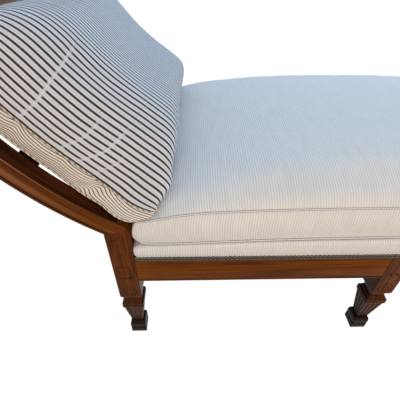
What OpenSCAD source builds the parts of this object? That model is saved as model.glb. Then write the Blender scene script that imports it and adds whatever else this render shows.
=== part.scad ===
// A single-ended recamier: a long seat on six square tapered legs, with a raking
// head end of open cross slats, a stuffed deck and two loose cushions.
// X runs from the head (-X) to the foot (+X), the front is -Y, and Z is up from the floor.

/* [Overall] */
// Depth over the outer faces of the front and rear legs
seat_depth = 760; // [700:5:820]
// Distance between the centres of neighbouring legs along the seat
leg_pitch = 636; // [560:2:700]
// Height of the underside of the rails above the floor
rail_clear_h = 243; // [200:1:280]

/* [Legs] */
// Width of the square leg block
leg_w = 54; // [48:1:64]
// Width of the square foot
foot_w = 42; // [36:1:46]
// Height of the straight part of the foot
foot_h = 43; // [30:1:50]
// Height of the rounded top of the foot
foot_top_h = 16; // [10:1:20]
// Width of the tapered shaft where it meets the foot
shaft_low_w = 29; // [24:1:34]
// Width of the tapered shaft under the collar
shaft_top_w = 50; // [42:1:52]
// Height of the collar's underside above the floor
collar_low_h = 133; // [120:1:140]
// Height of the collar band
collar_h = 17; // [12:1:20]
// Height of the sloped shoulder above the collar band
collar_slope_h = 11; // [6:1:12]
// Width of the neck above the collar
neck_w = 38; // [34:1:44]
// Height of the neck
neck_h = 9; // [5:1:14]
// Radius of the rounded lower edge of the leg block
lobe_r = 18; // [12:1:20]
// Number of flutes on each face of the shaft
flute_count = 3; // [2:1:3]
// Radius of a flute
flute_r = 2.6; // [1.6:0.1:3]
// Outer radius of the turned roundel
roundel_r = 18; // [12:0.5:20]
// Radius of the boss inside the roundel
roundel_boss_r = 9; // [6:0.5:10]
// Depth of the carving on the wooden faces
carve_d = 1.6; // [0.8:0.1:2]
// Width of an incised line
line_w = 2.4; // [1.4:0.1:3]
// Distance from an edge to its incised line
line_inset = 7; // [5:0.5:9]

/* [Rails] */
// Height of the rails
rail_h = 86; // [76:1:96]
// Thickness of the rails
rail_t = 30; // [26:1:34]
// Height of the bead along the lower edge of a rail
rail_bead_h = 8; // [5:0.5:12]
// Thickness of the tenons on the rails
tenon_t = 12; // [8:0.5:14]
// Distance from a rail's top and bottom edge to its tenon
tenon_shoulder = 6; // [5:1:9]
// Length of the tenons that run along the seat
tenon_len = 24; // [16:1:25]
// Length of the tenons that run across the seat
cross_tenon_len = 24; // [16:1:26]
// Height of the rebate that takes the edge of the cover and the gimp
rebate_h = 14; // [10:1:18]
// Depth of that rebate
rebate_d = 3.6; // [3:0.1:5]

/* [Head end] */
// Thickness of the raking stiles across the seat
stile_t = 40; // [34:1:46]
// Depth of the stiles in side view
stile_d = 44; // [38:1:50]
// Radius of the sweep of the stiles, at mid depth
sweep_r = 700; // [640:5:900]
// Steepness of the stiles' lower edge where it leaves the legs
sweep_start_angle = 33.7; // [32:0.1:35]
// Steepness of the stiles where the scroll begins
sweep_end_angle = 68; // [62:0.5:70]
// Radius of the scroll at the top, at mid depth
scroll_r = 60; // [48:1:70]
// Turn of the scroll past level
scroll_turn_angle = 110; // [90:1:130]
// Drop of the knee's outer corner below the top edge of the seat cushion
knee_drop = 39; // [30:1:42]
// Radius of the rounded inner corner of the knee
knee_r = 50; // [30:1:56]
// Width of a cross slat
slat_w = 39; // [30:1:46]
// Thickness of a cross slat
slat_t = 14; // [10:1:18]
// Angle along the sweep between neighbouring slats
slat_step_angle = 9.8; // [7:0.1:9.8]
// Angle along the sweep from the knee to the middle of the first slat
slat_first_angle = 5.7; // [5:0.1:6.5]
// Thickness of the crest rail
crest_t = 26; // [20:1:30]

/* [Deck] */
// Height of the deck's top above the rails at its ends
deck_edge_h = 31; // [24:1:40]
// Extra height of the deck in the middle of its length
deck_crown = 14; // [4:1:18]
// Width of a webbing strap
web_w = 50; // [40:1:60]
// Number of straps along the seat
web_long_count = 7; // [4:1:7]
// Number of straps across each half of the seat
web_cross_count = 6; // [3:1:6]

/* [Seat cushion] */
// Height of the seat cushion's boxing
seat_boxing = 80; // [60:1:100]
// Crown of the seat cushion's top
seat_crown = 64; // [20:1:70]
// How far the head end of the seat cushion is pressed down
seat_dip = 18; // [12:1:24]
// Thickness of the cushion covers
cover_t = 1.8; // [1.2:0.1:3]
// Radius of the welts
welt_r = 3.4; // [2.4:0.1:4]

/* [Back cushion] */
// Distance from the outer face of a stile to the side of the back cushion
back_side_gap = 22; // [15:1:60]
// Length of the back cushion along the slats
back_len = 410; // [340:2:430]
// Height of the back cushion's boxing
back_boxing = 44; // [36:1:60]
// Crown of the back cushion
back_crown = 152; // [90:1:160]
// How far the back cushion's lower corners are pulled out over the seat
back_ear = 22; // [0:1:30]
// How much further the back cushion reaches over the seat at the rear than at the front
back_skew = 10; // [0:1:20]

/* [Hidden] */
$fn = 48;

// Clearances and small sizes that several pieces share
fit = 0.2;
end_fit = 1;
rest_gap = 0.5;
seam_gap = 0.3;
back_seam_gap = 2.2;
overrun = 2;
wood = "saddlebrown";
cloth = "antiquewhite";

// Heights and places of the legs and rails
leg_x = [0, leg_pitch, 2 * leg_pitch];
half_depth = seat_depth / 2;
half_leg = leg_w / 2;
rail_top = rail_clear_h + rail_h;
knee_h = rail_top + deck_edge_h + seat_boxing - knee_drop;
rebate_low = rail_top - rebate_h;
foot_end_x = leg_x[2] + half_leg;
head_rail_x = -half_leg;
mid_rail_x = leg_x[1] - rail_t / 2;
foot_rail_x = foot_end_x - rail_t;
tenon_inset = (rail_t - tenon_t) / 2;
cross_span = seat_depth - 2 * leg_w;

// Heights of the leg's turnings
shaft_low_h = foot_h + foot_top_h;
collar_top_h = collar_low_h + collar_h;
neck_low_h = collar_top_h + collar_slope_h;
lobe_low_h = neck_low_h + neck_h;
lobe_x = half_leg - lobe_r;
lobe_start = -acos((neck_w / 2 - lobe_x) / lobe_r);
lobe_h = lobe_low_h - lobe_r * sin(lobe_start);
foot_edge = 2;
arc_count = 8;
flute_step_share = 0.27;
flute_end_gap = 5;
roundel_h = lobe_h + roundel_r;

// The incised panels on the face of the head leg
panel_low_rise = 11;
panel_split_low_rise = 54;
panel_split_top_rise = 94;
panel_right_inset = 15;
panel_top_gap = 14;

// The pegs, the screws and the blocks in the corners
peg_r = 3.4;
peg_rise = 14;
peg_inset = 19;
peg_len = 25;
block_b = 46;
block_h = 40;
block_rise = 24;
screw_r = 2.2;
screw_head_r = 4.5;
screw_head_h = 3;
screw_seat = 9;
screw_bite = 13;
screw_along_share = 0.45;

// The sweep of the stiles, as circles in side view
sweep_in_r = sweep_r - stile_d / 2;
sweep_out_r = sweep_r + stile_d / 2;
sweep_c = [-half_leg + sweep_out_r * sin(sweep_start_angle), knee_h + sweep_out_r * cos(sweep_start_angle)];
scroll_c = sweep_c - (sweep_r + scroll_r) * [sin(sweep_end_angle), cos(sweep_end_angle)];
knee_out = [-half_leg, knee_h];
knee_in = [half_leg, sweep_c.y - sqrt(sweep_in_r ^ 2 - (sweep_c.x - half_leg) ^ 2)];
knee_c_x = half_leg - knee_r;
knee_c = [knee_c_x, sweep_c.y - sqrt((sweep_in_r + knee_r) ^ 2 - (sweep_c.x - knee_c_x) ^ 2)];
sweep_lead_angle = 6;
sweep_step_count = 24;
scroll_step_count = 36;
knee_slope = atan2(knee_in.y - knee_out.y, knee_in.x - knee_out.x);
dowel_r = 4.5;
dowel_up = 13;
dowel_down = 22;
dowel_shares = [0.22, 0.5];
slat_tenon = 15;
slat_shoulder = 3;
crest_lead_angle = 8;
crest_fit_angle = 0.6;
crest_tenon = 14;
slat_count = 3;
crest_inset = 2;
eye_boss_r = 12;

// The stuffed deck
web_t = 1.4;
web_inset = rebate_d + 3;
hessian_t = 1;
dust_t = 0.8;
dust_inset = 8;
gimp_t = 1.6;
upright_gap = 0.4;
tongue_gap = 3;
face_gap = 0.3;
deck_left = leg_w / 2 + upright_gap;
deck_tongue = -half_leg + tongue_gap;
deck_right = foot_end_x - face_gap;
deck_front = half_depth - face_gap;
deck_notch = half_depth - stile_t - upright_gap;
flange_h = 2;
deck_step_count = 24;
deck_power = 3;
stack_h = rail_top + 2 * web_t;
pad_low_h = stack_h + hessian_t;

// The loose cushions
seat_head_gap = 2;
seat_foot_gap = 2;
dip_len = 85;
seat_x0 = half_leg + seat_head_gap;
seat_x1 = foot_end_x - seat_foot_gap;
edge_inset = 2 * welt_r + seam_gap;
fill_gap = 0.5;
box_bulge = 5;
seat_corner_cut = 4;
seat_draw = 6;
back_draw = 8;
back_w = seat_depth - 2 * back_side_gap;
back_lead_angle = 0.85;
back_nose = 23;
back_lean_share = 0.78;
back_lean_h = 95;
back_flare = 14;
back_slump_share = 0.1;
back_full_share = 0.7;
ear_lift_share = 1.26;
seat_line_counts = [16, 10];
back_line_counts = [10, 12];
welt_side_count = 6;
zip_half_h = 2.4;
zip_proud = 0.8;
zip_gap = 0.3;
zip_margin = 3;

// Everything is drawn from the head leg and moved so that the origin is under the middle
row_left = scroll_c.x - scroll_r - stile_d / 2;
row_mid_x = (row_left + foot_end_x) / 2;

module placed() translate([-row_mid_x, 0, 0]) children();

// Stands a drawing of X and Z up in the XZ plane, with its depth along Y from y0
module upright(y0, depth) translate([0, y0 + depth, 0]) rotate([90, 0, 0]) linear_extrude(depth) children();

module on_both_sides() {
    children();
    mirror([0, 1, 0]) children();
}

// The outline of a leg in side view, the same on all four sides
function leg_half_outline(top) = concat(
    [[foot_w / 2 - foot_edge, 0], [foot_w / 2, foot_edge]],
    [for (i = [0:arc_count]) let (a = 90 * i / arc_count)
        [shaft_low_w / 2 + (foot_w - shaft_low_w) / 2 * cos(a), foot_h + foot_top_h * sin(a)]],
    [[shaft_top_w / 2, collar_low_h], [half_leg, collar_low_h]],
    [[half_leg, collar_low_h + (collar_h - line_w) / 2],
     [half_leg - carve_d, collar_low_h + (collar_h - line_w) / 2],
     [half_leg - carve_d, collar_low_h + (collar_h + line_w) / 2],
     [half_leg, collar_low_h + (collar_h + line_w) / 2]],
    [[half_leg, collar_top_h], [neck_w / 2, neck_low_h]],
    [for (i = [0:arc_count]) let (a = lobe_start * (1 - i / arc_count))
        [lobe_x + lobe_r * cos(a), lobe_h + lobe_r * sin(a)]],
    [[half_leg, top]]
);

module leg_outline(top) {
    half = leg_half_outline(top);
    polygon(concat(half, [for (i = [len(half) - 1:-1:0]) [-half[i].x, half[i].y]]));
}

// A tapered flute cut, leaning with the shaft, on the -Y face
module flute_cuts() {
    low = shaft_low_h + flute_end_gap;
    high = collar_low_h - flute_end_gap;
    lean = (shaft_top_w - shaft_low_w) / 2 / (collar_low_h - shaft_low_h);
    low_half = shaft_low_w / 2 + lean * (low - shaft_low_h);
    high_half = shaft_low_w / 2 + lean * (high - shaft_low_h);
    for (i = [0:flute_count - 1]) {
        place = (i - (flute_count - 1) / 2) * 2 * flute_step_share;
        side = place * (high_half - low_half);
        out = high_half - low_half;
        rise = high - low;
        length = norm([side, out, rise]);
        translate([place * low_half, -low_half, low])
            rotate([0, acos(rise / length), atan2(-out, side)])
            cylinder(r = flute_r, h = length);
    }
}

// Two rings of carving, sunk in the -Y face
module roundel_cut() translate([0, -half_leg + carve_d, roundel_h]) rotate([90, 0, 0])
    for (r = [roundel_r, roundel_boss_r]) difference() {
        cylinder(r = r, h = carve_d + overrun);
        translate([0, 0, -overrun]) cylinder(r = r - line_w, h = carve_d + 3 * overrun);
    }

// A square turned leg about its own axis, with carving on its -Y face
module leg_body(top) difference() {
    intersection() {
        upright(-half_leg, leg_w) leg_outline(top);
        rotate([0, 0, 90]) upright(-half_leg, leg_w) leg_outline(top);
    }
    for (turn = [0:90:270]) rotate([0, 0, turn]) flute_cuts();
    roundel_cut();
}

// The mortise for a rail tenon that comes in along X, on the +X side
module rail_mortise() translate([half_leg - tenon_len - end_fit, -half_leg + tenon_inset - fit,
        rail_clear_h + tenon_shoulder - fit])
    cube([tenon_len + end_fit + overrun, tenon_t + 2 * fit, rail_h - 2 * tenon_shoulder + 2 * fit]);

// The mortise for a cross rail whose -X face is at x0 from the leg's axis
module cross_mortise(x0) translate([x0 + tenon_inset - fit, half_leg - cross_tenon_len - end_fit,
        rail_clear_h + tenon_shoulder - fit])
    cube([tenon_t + 2 * fit, cross_tenon_len + end_fit + overrun, rail_h - 2 * tenon_shoulder + 2 * fit]);

// The bore for a peg through the -Y face, at x from the leg's axis
module peg_bore(x) translate([x, -half_leg + peg_len, rail_clear_h + peg_rise]) rotate([90, 0, 0])
    cylinder(r = peg_r, h = peg_len + overrun);

// The rebate for the cover and the gimp along the -Y face
module front_rebate(width) translate([-width / 2, -half_leg - overrun, rebate_low])
    cube([width, rebate_d + overrun, rebate_h + overrun]);

// Places a leg's own axes at leg number i of the front row
module at_leg(i) translate([leg_x[i], half_leg - half_depth, 0]) children();

// An incised frame line on the -Y face, with a level foot and a sloped head
module panel_line(low, left_top, right_top) {
    x0 = -half_leg + line_inset;
    x1 = half_leg - panel_right_inset;
    upright(-half_leg - overrun, carve_d + overrun) difference() {
        polygon([[x0, low], [x1, low], [x1, right_top], [x0, left_top]]);
        polygon([[x0 + line_w, low + line_w], [x1 - line_w, low + line_w],
            [x1 - line_w, right_top - line_w], [x0 + line_w, left_top - line_w]]);
    }
}

function along_knee(share) = knee_out + share * (knee_in - knee_out);

// The side of the knee's mitre that the leg has, or the side that the stile has
module knee_half(is_leg) {
    away = stile_d * (is_leg ? [0, 2] : [0, -2]);
    polygon([along_knee(-1), along_knee(2), along_knee(2) + away, along_knee(-1) + away]);
}

// What rounding the inner corner of the knee takes away
module knee_rounding() difference() {
    toward = knee_r * (sweep_c - knee_c) / norm(sweep_c - knee_c);
    polygon([knee_c, knee_c + [knee_r + overrun, 0], knee_in + [overrun, overrun],
        knee_c + toward * (1 + overrun / knee_r)]);
    translate(knee_c) circle(r = knee_r, $fn = 96);
}

// The dowels across the knee joint
module knee_dowel_set(r, end) for (share = dowel_shares) {
    foot = along_knee(share);
    translate([foot.x, stile_t / 2 - half_depth, foot.y]) rotate([0, -knee_slope, 0])
        translate([0, 0, -dowel_down - end]) cylinder(r = r, h = dowel_down + dowel_up + 2 * end);
}

module head_leg() {
    top = knee_in.y + overrun;
    drop = panel_top_gap + line_inset;
    difference() {
        at_leg(0) difference() {
            leg_body(top);
            rail_mortise();
            cross_mortise(head_rail_x);
            peg_bore(half_leg - peg_inset);
            panel_line(rail_clear_h + panel_low_rise, rail_clear_h + panel_split_low_rise,
                rail_clear_h + panel_split_low_rise);
            panel_line(rail_clear_h + panel_split_top_rise, knee_out.y - drop, knee_in.y - drop);
            translate([-half_leg - overrun, stile_t - half_leg, rail_top])
                cube([leg_w + 2 * overrun, leg_w, top]);
        }
        upright(-half_depth - overrun, leg_w) knee_half(true);
        upright(-half_depth - overrun, leg_w + 2 * overrun) knee_rounding();
        knee_dowel_set(dowel_r, end_fit);
    }
}

module mid_leg() at_leg(1) difference() {
    leg_body(rail_top);
    rail_mortise();
    mirror([1, 0, 0]) rail_mortise();
    cross_mortise(-rail_t / 2);
    for (side = [-1, 1]) peg_bore(side * (half_leg - peg_inset));
    front_rebate(leg_w + 2 * overrun);
}

module foot_leg() at_leg(2) difference() {
    leg_body(rail_top);
    mirror([1, 0, 0]) rail_mortise();
    cross_mortise(half_leg - rail_t);
    peg_bore(peg_inset - half_leg);
    front_rebate(leg_w + 2 * overrun);
    rotate([0, 0, 90]) front_rebate(leg_w + 2 * overrun);
}

module head_leg_front() color(wood) placed() head_leg();
module head_leg_rear() color(wood) placed() mirror([0, 1, 0]) head_leg();
module mid_leg_front() color(wood) placed() mid_leg();
module mid_leg_rear() color(wood) placed() mirror([0, 1, 0]) mid_leg();
module foot_leg_front() color(wood) placed() foot_leg();
module foot_leg_rear() color(wood) placed() mirror([0, 1, 0]) foot_leg();

// The screw holes and screws of one corner block, about the inner corner of a leg.
// cross_x is where the cross rail's face is, from the leg's axis
module block_screw(r_shank, r_head, head_h, bite) {
    rotate([90, 0, 0]) translate([0, 0, -screw_seat - head_h]) cylinder(r = r_head, h = head_h);
    rotate([90, 0, 0]) translate([0, 0, -screw_seat]) cylinder(r = r_shank, h = screw_seat + bite);
}

module block_screws(cross_x, r_shank, r_head, head_h, bite) {
    along = half_leg + block_b * screw_along_share;
    z = rail_clear_h + block_rise + block_h / 2;
    translate([along, rail_t - half_leg, z]) block_screw(r_shank, r_head, head_h, bite);
    translate([cross_x, along, z]) rotate([0, 0, -90]) block_screw(r_shank, r_head, head_h, bite);
}

module corner_block(cross_x) difference() {
    translate([0, 0, rail_clear_h + block_rise]) linear_extrude(block_h)
        polygon([[half_leg, rail_t - half_leg], [half_leg + block_b, rail_t - half_leg],
            [cross_x, half_leg + block_b], [cross_x, half_leg], [half_leg, half_leg]]);
    block_screws(cross_x, screw_r + fit, screw_head_r + fit, block_b, 0);
}

// Each corner between a leg and its cross rail, on one side of the seat
module at_corners() {
    at_leg(0) children(0);
    at_leg(1) children(1);
    at_leg(1) mirror([1, 0, 0]) children(1);
    at_leg(2) mirror([1, 0, 0]) children(0);
}

module corner_blocks() color("burlywood") placed() on_both_sides() at_corners() {
    corner_block(rail_t - half_leg);
    corner_block(rail_t / 2);
}

module corner_block_screws() color("goldenrod") placed() on_both_sides() at_corners() {
    block_screws(rail_t - half_leg, screw_r, screw_head_r, screw_head_h, screw_bite);
    block_screws(rail_t / 2, screw_r, screw_head_r, screw_head_h, screw_bite);
}

module joint_pegs() color("black") placed() on_both_sides() {
    inward = half_leg - peg_inset;
    for (peg = [[0, inward], [1, -inward], [1, inward], [2, -inward]])
        at_leg(peg[0]) translate([peg[1], -half_leg + peg_len - fit, rail_clear_h + peg_rise])
            rotate([90, 0, 0]) cylinder(r = peg_r - fit / 2, h = peg_len - fit);
}

// A side rail from leg number i to the next, with the screw holes of its blocks
module side_rail(i) {
    x0 = leg_x[i] + half_leg;
    length = leg_x[i + 1] - leg_x[i] - leg_w;
    difference() {
        translate([x0, -half_depth, rail_clear_h]) union() {
            cube([length, rail_t, rail_h]);
            translate([-tenon_len, tenon_inset, tenon_shoulder])
                cube([length + 2 * tenon_len, tenon_t, rail_h - 2 * tenon_shoulder]);
        }
        translate([x0 - overrun, -half_depth - overrun, rebate_low])
            cube([length + 2 * overrun, rebate_d + overrun, rebate_h + overrun]);
        translate([x0 - overrun, -half_depth - overrun, rail_clear_h + rail_bead_h])
            cube([length + 2 * overrun, carve_d + overrun, line_w]);
        at_leg(i) peg_bore(half_leg - peg_inset);
        at_leg(i + 1) peg_bore(peg_inset - half_leg);
        at_corners() {
            block_screws(rail_t - half_leg, screw_r + fit, screw_r + fit, screw_head_h, screw_bite + end_fit);
            block_screws(rail_t / 2, screw_r + fit, screw_r + fit, screw_head_h, screw_bite + end_fit);
        }
    }
}

module front_rail_head() color(wood) placed() side_rail(0);
module front_rail_foot() color(wood) placed() side_rail(1);
module rear_rail_head() color(wood) placed() mirror([0, 1, 0]) side_rail(0);
module rear_rail_foot() color(wood) placed() mirror([0, 1, 0]) side_rail(1);

// A cross rail whose -X face is at x0
module cross_rail(x0) difference() {
    translate([x0, -cross_span / 2, rail_clear_h]) union() {
        cube([rail_t, cross_span, rail_h]);
        translate([tenon_inset, -cross_tenon_len, tenon_shoulder])
            cube([tenon_t, cross_span + 2 * cross_tenon_len, rail_h - 2 * tenon_shoulder]);
    }
    on_both_sides() at_corners() {
        block_screws(rail_t - half_leg, screw_r + fit, screw_r + fit, screw_head_h, screw_bite + end_fit);
        block_screws(rail_t / 2, screw_r + fit, screw_r + fit, screw_head_h, screw_bite + end_fit);
    }
}

module head_cross_rail() color(wood) placed() cross_rail(head_rail_x);
module mid_cross_rail() color(wood) placed() cross_rail(mid_rail_x);
module foot_cross_rail() color(wood) placed() difference() {
    cross_rail(foot_rail_x);
    translate([foot_end_x - rebate_d, -half_depth, rebate_low])
        cube([rebate_d + overrun, seat_depth, rebate_h + overrun]);
}

// Points along a stile at depth k below its middle line, from under the knee to the end of the scroll
function stile_line(k) = let (
        sweep_0 = sweep_start_angle - sweep_lead_angle,
        sweep_step = (sweep_end_angle - sweep_0) / sweep_step_count,
        scroll_0 = 90 - sweep_end_angle,
        scroll_step = (sweep_end_angle + scroll_turn_angle) / scroll_step_count)
    concat(
        [for (i = [0:sweep_step_count]) let (a = sweep_0 + i * sweep_step)
            sweep_c - (sweep_r + k) * [sin(a), cos(a)]],
        [for (i = [1:scroll_step_count]) let (a = scroll_0 + i * scroll_step)
            scroll_c + (scroll_r - k) * [cos(a), sin(a)]]);

module stile_band(k0, k1) {
    low = stile_line(k1);
    high = stile_line(k0);
    polygon(concat(low, [for (i = [len(high) - 1:-1:0]) high[i]]));
}

// Turns a section about Y, from angle a0 by turn, where angle 0 is +X and 90 is +Z
module swept(centre, a0, turn) translate([centre.x, 0, centre.y]) rotate([90, 0, 0])
    rotate([0, 0, a0]) rotate_extrude(angle = turn, $fn = 180) children();

// The band that the crest rail or its tenons fill, short of the scroll's ends by lead degrees
module crest_band(width, grow, lead) {
    r0 = scroll_r + stile_d / 2 - crest_inset - crest_t;
    swept(scroll_c, 90 - sweep_end_angle + lead, sweep_end_angle + scroll_turn_angle - 2 * lead)
        translate([r0 - grow, -width / 2]) square([crest_t + 2 * grow, width]);
}

module crest_tenons(grow, lead) {
    width = seat_depth - 2 * stile_t + 2 * crest_tenon + 2 * grow;
    shoulder = crest_t / 4;
    crest_band(width, grow - shoulder, lead);
}

// Places slat number i, lying in the sweep with its upper face flush with the stiles
module at_slat(i) {
    a = sweep_start_angle + slat_first_angle + i * slat_step_angle;
    centre = sweep_c - (sweep_in_r + slat_t / 2) * [sin(a), cos(a)];
    translate([centre.x, 0, centre.y]) rotate([0, a, 0]) children();
}

module slat_tenons(grow) {
    length = seat_depth - 2 * stile_t + 2 * slat_tenon;
    cube([slat_w - 2 * slat_shoulder + 2 * grow, length + 2 * grow, slat_t - 2 * slat_shoulder + 2 * grow],
        center = true);
}

module stile() {
    eye = scroll_c + scroll_r * [-sin(scroll_turn_angle), cos(scroll_turn_angle)];
    half = stile_d / 2;
    difference() {
        union() {
            upright(-half_depth, stile_t) stile_band(-half, half);
            translate([eye.x, stile_t - half_depth, eye.y]) rotate([90, 0, 0])
                cylinder(r = half, h = stile_t, $fn = 72);
        }
        for (side = [-1, 1]) {
            k = side * (half - line_inset - line_w / 2);
            upright(-half_depth - overrun, carve_d + overrun) stile_band(k - line_w / 2, k + line_w / 2);
        }
        translate([eye.x, carve_d - half_depth, eye.y]) rotate([90, 0, 0]) difference() {
            cylinder(r = eye_boss_r, h = carve_d + overrun);
            translate([0, 0, -overrun]) cylinder(r = eye_boss_r - line_w, h = carve_d + 3 * overrun);
        }
        upright(-half_depth - overrun, leg_w) knee_half(false);
        upright(-half_depth - overrun, leg_w) knee_rounding();
        knee_dowel_set(dowel_r, end_fit);
        for (i = [0:slat_count - 1]) at_slat(i) slat_tenons(fit);
        crest_tenons(fit, crest_lead_angle - crest_fit_angle);
    }
}

module head_stile_front() color(wood) placed() stile();
module head_stile_rear() color(wood) placed() mirror([0, 1, 0]) stile();
module knee_dowels() color("tan") placed() on_both_sides() knee_dowel_set(dowel_r - fit, 0);

module back_slat(i) color("sienna") placed() at_slat(i) union() {
    cube([slat_w, seat_depth - 2 * stile_t, slat_t], center = true);
    slat_tenons(0);
}

module back_slat_low() back_slat(0);
module back_slat_mid() back_slat(1);
module back_slat_high() back_slat(2);

module crest_rail() color(wood) placed() union() {
    crest_band(seat_depth - 2 * stile_t, 0, 0);
    crest_tenons(0, crest_lead_angle);
}

module webbing_long() color("peru") placed() {
    room = seat_depth - 2 * web_inset;
    step = (room - web_w) / (web_long_count - 1);
    for (i = [0:web_long_count - 1]) {
        y = -room / 2 + i * step;
        at_upright = abs(y + web_w / 2) + web_w / 2 > deck_notch - end_fit;
        x0 = (at_upright ? deck_left : deck_tongue) + web_inset;
        translate([x0, y, rail_top]) cube([foot_end_x - web_inset - x0, web_w, web_t]);
    }
}

module webbing_cross() color("peru") placed() {
    span = seat_depth - 2 * web_inset;
    for (bay = [0, 1], i = [0:web_cross_count - 1]) {
        clear = leg_pitch - leg_w;
        step = clear / web_cross_count;
        translate([leg_x[bay] + half_leg + (i + 1 / 2) * step - web_w / 2, -span / 2, rail_top + web_t])
            cube([web_w, span, web_t]);
    }
}

// The plan of the deck, notched round the uprights, drawn in by inset
module deck_plan(inset) {
    x0 = deck_tongue + inset;
    x1 = deck_left + inset;
    x2 = deck_right - inset;
    y1 = deck_front - inset;
    y0 = deck_notch - inset;
    polygon([[x0, -y0], [x1, -y0], [x1, -y1], [x2, -y1], [x2, y1], [x1, y1], [x1, y0], [x0, y0]]);
}

// Height of the deck's top at x, highest in the middle of its length
function deck_top(x) = let (
        half = (deck_right - deck_left) / 2,
        share = min(1, abs(x - deck_left - half) / half))
    rail_top + deck_edge_h + deck_crown * (1 - share ^ deck_power);

// The deck's plan from z0 up to drop under its crowned top
module deck_block(inset, z0, drop) intersection() {
    translate([0, 0, z0]) linear_extrude(rail_h + deck_crown) deck_plan(inset);
    upright(-half_depth, seat_depth) polygon(concat(
        [[deck_tongue - overrun, 0], [deck_right + overrun, 0]],
        [for (i = [deck_step_count:-1:0]) let (x = deck_left + (deck_right - deck_left) * i / deck_step_count)
            [x + (i == deck_step_count ? overrun : 0), deck_top(x) - drop]],
        [[deck_tongue - overrun, deck_top(deck_left) - drop]]));
}

module hessian() color("darkkhaki") placed() translate([0, 0, stack_h]) linear_extrude(hessian_t)
    deck_plan(web_inset - face_gap);

module deck_pad() color("wheat") placed() deck_block(cover_t + seam_gap, pad_low_h, cover_t + seam_gap);

// The cover: a top and walls down to the rails, and a skirt into the rebate
module deck_cover() {
    wall_low = rail_top + flange_h / 4;
    skirt_out = gimp_t + seam_gap;
    skirt_left = deck_left;
    skirt_right = foot_end_x - skirt_out;
    skirt_front = half_depth - skirt_out;
    color(cloth) placed() union() {
        difference() {
            deck_block(0, wall_low, 0);
            deck_block(cover_t, wall_low + flange_h, cover_t);
            translate([0, 0, rail_clear_h]) linear_extrude(wall_low + flange_h + overrun / 2 - rail_clear_h)
                deck_plan(rebate_d + seam_gap);
        }
        difference() {
            translate([skirt_left, -skirt_front, rebate_low + fit])
                cube([skirt_right - skirt_left, 2 * skirt_front, wall_low - rebate_low - fit + flange_h / 2]);
            wall = cover_t - fit;
            translate([skirt_left - overrun, wall - skirt_front, rail_clear_h])
                cube([skirt_right - skirt_left - wall + overrun, 2 * (skirt_front - wall), rail_h + deck_edge_h]);
        }
    }
}

module gimp_strip() translate([deck_left, -half_depth, rebate_low + fit])
    cube([foot_end_x - deck_left, gimp_t, rebate_h - fit]);

module gimp_front() color("dimgray") placed() gimp_strip();
module gimp_rear() color("dimgray") placed() mirror([0, 1, 0]) gimp_strip();
module gimp_foot() color("dimgray") placed()
    translate([foot_end_x - gimp_t, gimp_t - half_depth, rebate_low + fit])
        cube([gimp_t, seat_depth - 2 * gimp_t, rebate_h - fit]);

module dust_cover() color("black") placed() translate([0, 0, rail_clear_h - dust_t]) linear_extrude(dust_t)
    difference() {
        translate([dust_inset - half_leg, dust_inset - half_depth])
            square([foot_end_x + half_leg - 2 * dust_inset, seat_depth - 2 * dust_inset]);
        for (x = leg_x, side = [-1, 1]) translate([x, side * (half_depth - half_leg)])
            square(leg_w + 2 * fit, center = true);
    }

// Where line i of n lies between a cushion's edges, at -1 and 1. The lines are closest by the edges
function line_place(i, n) = sin(90 * (2 * i / n - 1));

// Where the perimeter of a cushion's grid passes, step k, as grid numbers
function edge_step(k, nu, nv) =
    k < nu ? [k, 0] :
    k < nu + nv ? [nu, k - nu] :
    k < 2 * nu + nv ? [2 * nu + nv - k, nv] :
    [0, 2 * (nu + nv) - k];

// A boxed cushion from at(u, v, w, inset), with u and v from -1 to 1 over its plan,
// w -1 on the bottom panel, 0 along the middle of the boxing and 1 on the top panel
module boxed_cushion(grid, inset, at) {
    nu = grid[0];
    nv = grid[1];
    edge = 2 * (nu + nv);
    count = (nu + 1) * (nv + 1);
    function top(i, j) = i * (nv + 1) + j;
    function low(i, j) = count + top(i, j);
    function at_edge(k, level) = let (e = edge_step(k % edge, nu, nv))
        level == 0 ? 2 * count + k % edge : level > 0 ? top(e[0], e[1]) : low(e[0], e[1]);
    points = concat(
        [for (w = [1, -1], i = [0:nu], j = [0:nv]) at(line_place(i, nu), line_place(j, nv), w, inset)],
        [for (k = [0:edge - 1]) let (e = edge_step(k, nu, nv))
            at(line_place(e[0], nu), line_place(e[1], nv), 0, inset)]);
    faces = concat(
        [for (i = [0:nu - 1], j = [0:nv - 1], half = [0, 1]) half == 0
            ? [top(i, j), top(i, j + 1), top(i + 1, j + 1)]
            : [top(i, j), top(i + 1, j + 1), top(i + 1, j)]],
        [for (i = [0:nu - 1], j = [0:nv - 1], half = [0, 1]) half == 0
            ? [low(i, j), low(i + 1, j), low(i + 1, j + 1)]
            : [low(i, j), low(i + 1, j + 1), low(i, j + 1)]],
        [for (k = [0:edge - 1], level = [-1, 0], half = [0, 1]) half == 0
            ? [at_edge(k, level), at_edge(k, level + 1), at_edge(k + 1, level + 1)]
            : [at_edge(k, level), at_edge(k + 1, level + 1), at_edge(k + 1, level)]]);
    polyhedron(points, faces, convexity = 6);
}

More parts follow.
